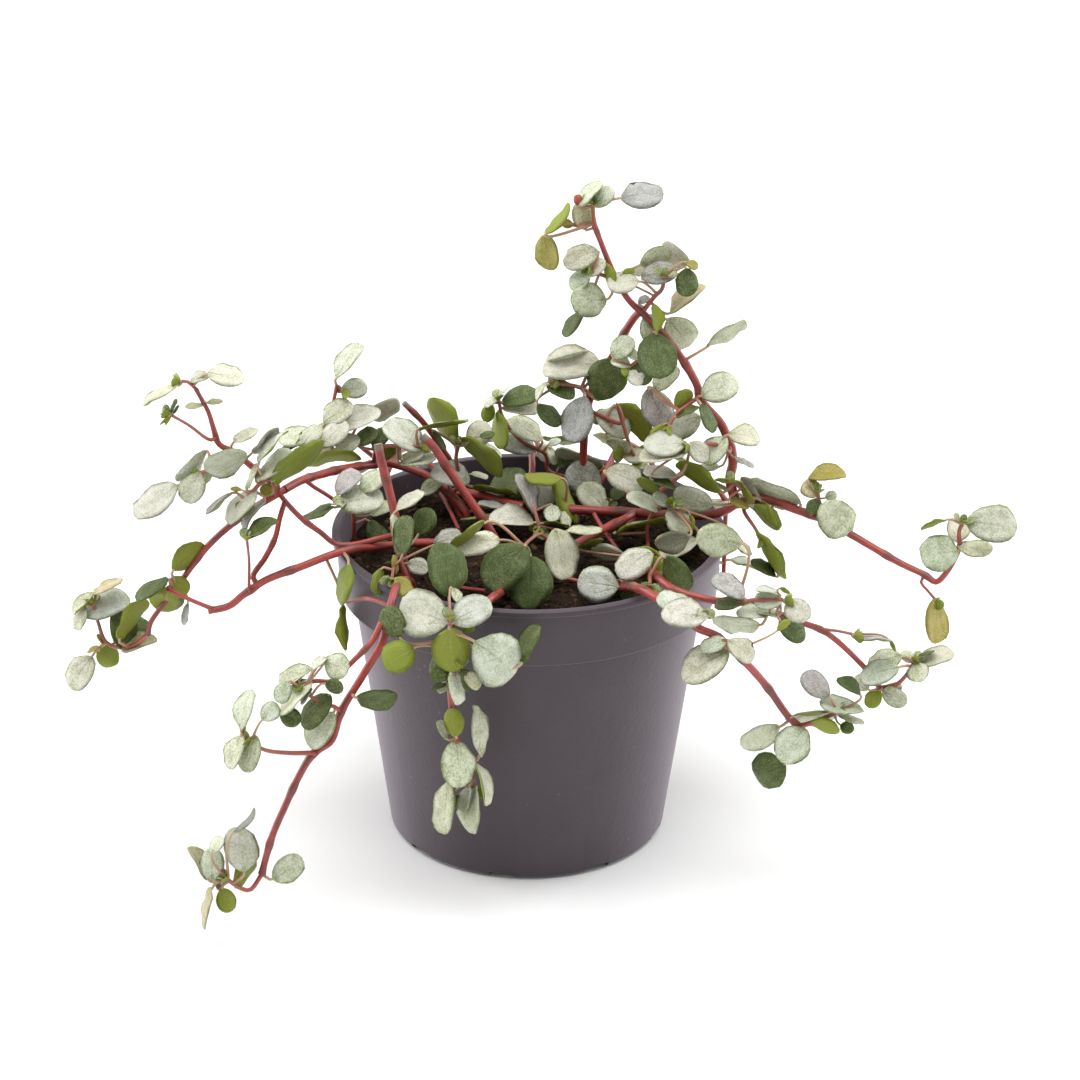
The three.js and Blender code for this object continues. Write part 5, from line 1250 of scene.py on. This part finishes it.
for name, piece_paths in paths.items():
    source = mesh_from(name + "_paths", piece_paths.places, edges=piece_paths.edges,
                       values=piece_paths.values)
    piece = grown(name + "_stems", source, tube_tree, Sides=SIDES)
    seat(piece, "stem", name)
print(len(paths), "pieces of stem")

# %% [markdown]
# ## The leaf's finish
# The upper side is green, with air pockets under its skin that make it silver: dense in the middle of the
# blade, broken into fine specks towards the margin and along the veins. The margin itself stays a thin
# green line. The underside is a plain yellow-green with three faint veins. Each leaf keeps its own colours,
# so that no two are alike, and the specks are measured in millimetres of blade.

# %% Leaf finish
leaf_skin, tree = new_material("silver_leaf")
along, across, facing = tree.kept("blade", 1).parts()
place = tree.kept("skin", 1)
frost = tree.kept("frost", 0)
ground = tree.kept("ground", 0)
under = tree.kept("under", 0)
cover = tree.kept("cover")
fine = noise_of(tree, place, 2.6, 4.0, 0.7)
broad = noise_of(tree, place, 0.45, 2.0)
pocket = tree.node("ShaderNodeTexVoronoi", {}, {"Vector": place, "Scale": 3.0})
width = abs(across)
edge = width.rise(0.8, 1.0).most(along.rise(0.93, 1.0))
foot = along.rise(0.3, 0.0)
vein = (1.0 - (width * 11.0).held()) * along.rise(0.95, 0.1)
side_vein = (1.0 - (abs(width - (0.12 + along * 0.75)) * 12.0).held()) * along.rise(0.75, 0.2)
mottle = (fine.rise(0.36, 0.64) - 0.5) * 0.7 + (broad.rise(0.3, 0.7) - 0.5) * 0.4
mottle = mottle - pocket.rise(0.5, 0.2) * 0.12
silver = (cover + mottle - edge * 0.45 - foot * 0.35 - vein * 0.35 - side_vein * 0.15).held()
upper = tree.mix(silver, ground, frost)
lower = tree.mix((vein + side_vein * 0.6).held() * 0.5, under, (0.3, 0.34, 0.13, 1))
lower = tree.mix(fine.rise(0.5, 0.75) * 0.25, lower, frost)
colour = tree.mix(facing.rise(-0.25, 0.25), lower, upper)
relief = fine * 0.6 + silver * 0.25 - vein * 0.7 - side_vein * 0.4
principled(tree, {"Base Color": colour, "Roughness": 0.58 - silver * 0.12, "Specular IOR Level": 0.4,
                  "Subsurface Weight": 0.1, "Subsurface Radius": (0.6, 1.0, 0.3), "Subsurface Scale": 0.0012,
                  "Normal": bump_of(tree, relief, 0.00018)})
print("material:", leaf_skin.name)

# %% [markdown]
# ## The blade
# One small closed blade serves for every leaf: an outline that leaves its foot as a wedge, is widest
# halfway and ends in a round tip, and a lens section that is thick along the middle and thin at the margin.
# It has a few dozen faces, because it is repeated for every leaf. Each point keeps its share of the length,
# of the half width, and which side it is on.

# %% Blade
SLICES = 9
STATIONS = [0.5 - 0.5 * math.cos(math.pi * k / SLICES) for k in range(1, SLICES)]
ACROSS = [-1, -0.58, 0, 0.58, 1]
WIDEST = 0.5
WEDGE, ROUND = (1.9, 0.66), (2.3, 0.5)  # the powers that draw the outline's foot and its tip
THINNEST, FULLEST = 0.45, 2.2


def half_width(share):
    """A blade that leaves its foot as a wedge and ends in a round tip."""
    if share < WIDEST:
        return 0.5 * (1 - ((WIDEST - share) / WIDEST) ** WEDGE[0]) ** WEDGE[1]
    return 0.5 * (1 - ((share - WIDEST) / (1 - WIDEST)) ** ROUND[0]) ** ROUND[1]


def blade_mesh():
    places, marks, faces = [(0, 0, 0), (1, 0, 0)], [(0, 0, 0), (1, 0, 0)], []
    rows = {}
    for at, share in enumerate(STATIONS):
        for side in (1, -1):
            for column, part in enumerate(ACROSS):
                if side < 0 and abs(part) == 1:
                    rows[at, side, column] = rows[at, 1, column]
                    continue
                rows[at, side, column] = len(places)
                swell = (1 - part**2) ** 0.5 * min(1, THINNEST + FULLEST * share * (1 - share))
                places.append((share, part * half_width(share), side * 0.5 * swell))
                marks.append((share, part, side if abs(part) < 1 else 0))
    for side in (1, -1):
        for column in range(len(ACROSS) - 1):
            for at in range(len(STATIONS) - 1):
                faces.append([rows[at, side, column], rows[at + 1, side, column],
                              rows[at + 1, side, column + 1], rows[at, side, column + 1]])
            faces.append([0, rows[0, side, column], rows[0, side, column + 1]])
            last = len(STATIONS) - 1
            faces.append([rows[last, side, column], 1, rows[last, side, column + 1]])
    faces = [face if index < len(faces) // 2 else face[::-1] for index, face in enumerate(faces)]
    return mesh_from("blade", np.array(places) / MM, faces, values={"blade": marks})


blade_object = placed("blade", blade_mesh())
print("blade:", len(blade_object.data.polygons), "faces")

# %% [markdown]
# ## Leaves
# Geometry Nodes put a blade on each leaf's foot and then shape it by that leaf's own numbers: its length,
# width and thickness, how far its margins curl up, how far it arches, and how sharply it creases along the
# middle.

# %% A tree that shapes blades
RIPPLES = (2.4, 2.0)  # along the blade and across it
RIPPLE_LIFT, RIPPLE_BREADTH = 0.3, 0.35  # shares of the width
tree, inlet = geometry_tree("leaves", {
    "Blade": ("NodeSocketObject", None), "Curl": ("NodeSocketFloat", 1.0), "Arch": ("NodeSocketFloat", 1.0)})
blade = tree.node("GeometryNodeObjectInfo", {}, {"Object": inlet["Blade"]}, 4)
place = tree.node("GeometryNodeInputPosition")
blade = tree.keep(blade, "local", place, "FLOAT_VECTOR")
set_out = tree.node("GeometryNodeInstanceOnPoints", {}, {"Points": inlet["Geometry"], "Instance": blade})
plain = tree.node("GeometryNodeRealizeInstances", {}, {"Geometry": set_out})
local = tree.stored("local", "FLOAT_VECTOR")
axis, side, normal = (tree.stored(name, "FLOAT_VECTOR") for name in ("axis", "side", "normal"))
long, wide, thick = tree.stored("size", "FLOAT_VECTOR").parts()
curl, arch, crease = tree.stored("bend", "FLOAT_VECTOR").parts()
x, y, z = local.parts()
ripple_place = tree.node("ShaderNodeCombineXYZ", {}, {
    0: x * RIPPLES[0], 1: y * RIPPLES[1], 2: tree.stored("seed")})
ripple = tree.node("ShaderNodeTexNoise", {}, {"Scale": 1.0, "Detail": 1.0, "Vector": ripple_place}) - 0.5
lift = wide * (curl * inlet["Curl"] * y * y * 4.0 + crease * abs(y) + ripple * RIPPLE_LIFT)
lift = lift + long * arch * inlet["Arch"] * x * (1.0 - x) * 4.0
breadth = wide * (1.0 + ripple * RIPPLE_BREADTH)
shaped = place - local + axis * (x * long) + side * (y * breadth) + normal * (z * thick + lift)
moved = tree.node("GeometryNodeSetPosition", {}, {"Geometry": plain, "Position": shaped})
skin = tree.node("ShaderNodeCombineXYZ", {}, {0: x * long / MM, 1: y * wide / MM, 2: tree.stored("seed")})
kept = tree.keep(moved, "skin", skin, "FLOAT_VECTOR")
leaf_tree = end_tree(tree, kept, leaf_skin)
print("tree:", leaf_tree.name)

# %% Looks of leaves
def linear(*channels):
    """A colour on a monitor's scale of 0 to 255, as the amounts of light that a shader works in."""
    return np.array([(c / 255 / 12.92) if c < 10.3 else ((c / 255 + 0.055) / 1.055) ** 2.4 for c in channels])


LOOKS = {  # frost on the upper side, the green under it, the underside, and how much the frost covers
    "W": (linear(210, 210, 198), linear(150, 158, 120), linear(146, 152, 96), 0.82),
    "S": (linear(213, 215, 196), linear(138, 148, 98), linear(136, 146, 70), 0.8),
    # The darker looks M and D are partly painted shade, given to some leaves that lay in shadow.
    "M": (linear(194, 190, 186), linear(128, 126, 118), linear(136, 138, 92), 0.68),
    "D": (linear(128, 138, 92), linear(70, 84, 34), linear(108, 120, 40), 0.22),
    "B": (linear(204, 196, 168), linear(156, 150, 104), linear(154, 144, 98), 0.6),
    "Y": (linear(176, 166, 96), linear(138, 132, 48), linear(146, 136, 56), 0.35),
    "R": (linear(196, 120, 96), linear(150, 66, 52), linear(150, 86, 60), 0.3),
    "G": (linear(186, 190, 150), linear(116, 130, 60), linear(128, 138, 36), 0.5),
}
print(len(LOOKS), "looks")

# %% Leaves from blades
FULLNESS = 1.07  # a living blade is rounder and fuller than its solid, which has straight edges
THICKEST, THICKNESS = 0.0009, 0.09  # metres, and a share of the length
SHADE, UNDER_SHADE = (0.9, 1.08), (0.85, 1.12)  # shares of the colour's light
REDDER, BLUER = (-0.05, 0.06), (-0.08, 0.05)
CURL, ARCH, CREASE = (-0.02, 0.13), (-0.03, 0.05), (0, 0.12)
COVER_STRAY = 0.15
LEAF_SEED, LAST_PLACE = 7, 400  # where in the noise a leaf's specks are taken, at most
draw = random.Random(LEAF_SEED)
by_node = {}
for leaf in leaves:
    frost_colour, ground_colour, under_colour, cover_share = LOOKS[leaf["look"]]
    shade = draw.uniform(*SHADE)
    warmth = np.array([1 + draw.uniform(*REDDER), 1, 1 + draw.uniform(*BLUER)])
    long = leaf["length"] * FULLNESS * MM
    by_node.setdefault(leaf["node"], []).append({
        "base": leaf["base"], "axis": leaf["axis"], "side": leaf["side"], "normal": leaf["normal"],
        "size": (long, long * LEAF_SHAPE, min(THICKEST, long * THICKNESS)),
        "bend": [draw.uniform(*reach) for reach in (CURL, ARCH, CREASE)],
        "frost": frost_colour * shade * warmth, "ground": ground_colour * shade * warmth,
        "under": under_colour * draw.uniform(*UNDER_SHADE) * warmth,
        "cover": cover_share + draw.uniform(-COVER_STRAY, COVER_STRAY), "seed": draw.uniform(0, LAST_PLACE)})
for name, rows in by_node.items():
    values = {label: [row[label] for row in rows] for label in rows[0] if label != "base"}
    source = mesh_from(name + "_feet", [row["base"] for row in rows], values=values)
    piece = grown(name + "_leaves", source, leaf_tree, Blade=blade_object)
    for label in ("local", "axis", "side", "normal", "size", "bend", "seed"):
        piece.data.attributes.remove(piece.data.attributes[label])
    seat(piece, "leaf", name)
bpy.data.objects.remove(blade_object)
print(len(by_node), "pieces with leaves")

# %% [markdown]
# ## Floor and light
# The pot stands on a plain white sweep, so wide that it shows no edge. One broad light stands at each side,
# a little behind the pot, and a softer one overhead. Broad lights give the plastic its long pale bands and
# keep the shadows of the leaves soft.

# %% Floor
FLOOR_CELLS, FLOOR_HALF = 8, 9  # metres from the middle to an edge
floor_mesh = bpy.data.meshes.new("floor")
work = bmesh.new()
bmesh.ops.create_grid(work, x_segments=FLOOR_CELLS, y_segments=FLOOR_CELLS, size=FLOOR_HALF)
work.to_mesh(floor_mesh)
work.free()
floor = placed("floor", floor_mesh)
white, tree = new_material("white_sweep")
place = tree.object_place()
principled(tree, {"Base Color": (0.9, 0.9, 0.9, 1), "Roughness": 0.7 + noise_of(tree, place, 3.0) * 0.1})
floor_mesh.materials.append(white)
print("floor:", 2 * FLOOR_HALF, "metres wide")

# %% Lights and sky
PLANT_MIDDLE = 0.06  # the height that the lights aim at
SKY_LIGHT = 0.6  # the sky's strength as light; seen directly it is white


def soft_light(name, power, size, place, target=(0, 0, PLANT_MIDDLE)):
    data = bpy.data.lights.new(name, "AREA")
    data.shape, data.size, data.size_y, data.energy = "RECTANGLE", size[0], size[1], power
    light = placed(name, data)
    light.location = place
    light.rotation_euler = (Vector(place) - Vector(target)).to_track_quat("Z", "Y").to_euler()


soft_light("left", 9, (0.8, 1.0), (-0.95, 0.35, 0.45))
soft_light("right", 8, (0.8, 1.0), (0.95, 0.35, 0.45))
soft_light("overhead", 15, (1.1, 1.1), (0.0, -0.1, 1.3))
world = bpy.data.worlds.new("studio")
world.use_nodes = True
world.node_tree.nodes.clear()
tree = Tree(world.node_tree)
seen_directly = tree.node("ShaderNodeLightPath", {}, {}, 0)
sky = tree.node("ShaderNodeBackground", {}, {
    "Color": (1, 1, 1, 1), "Strength": SKY_LIGHT + seen_directly * (1 - SKY_LIGHT)})
sky_output = world.node_tree.nodes.new("ShaderNodeOutputWorld")
world.node_tree.links.new(sky.socket, sky_output.inputs["Surface"])
bpy.context.scene.world = world
bpy.context.scene.view_settings.view_transform = "Standard"
print("lights placed")
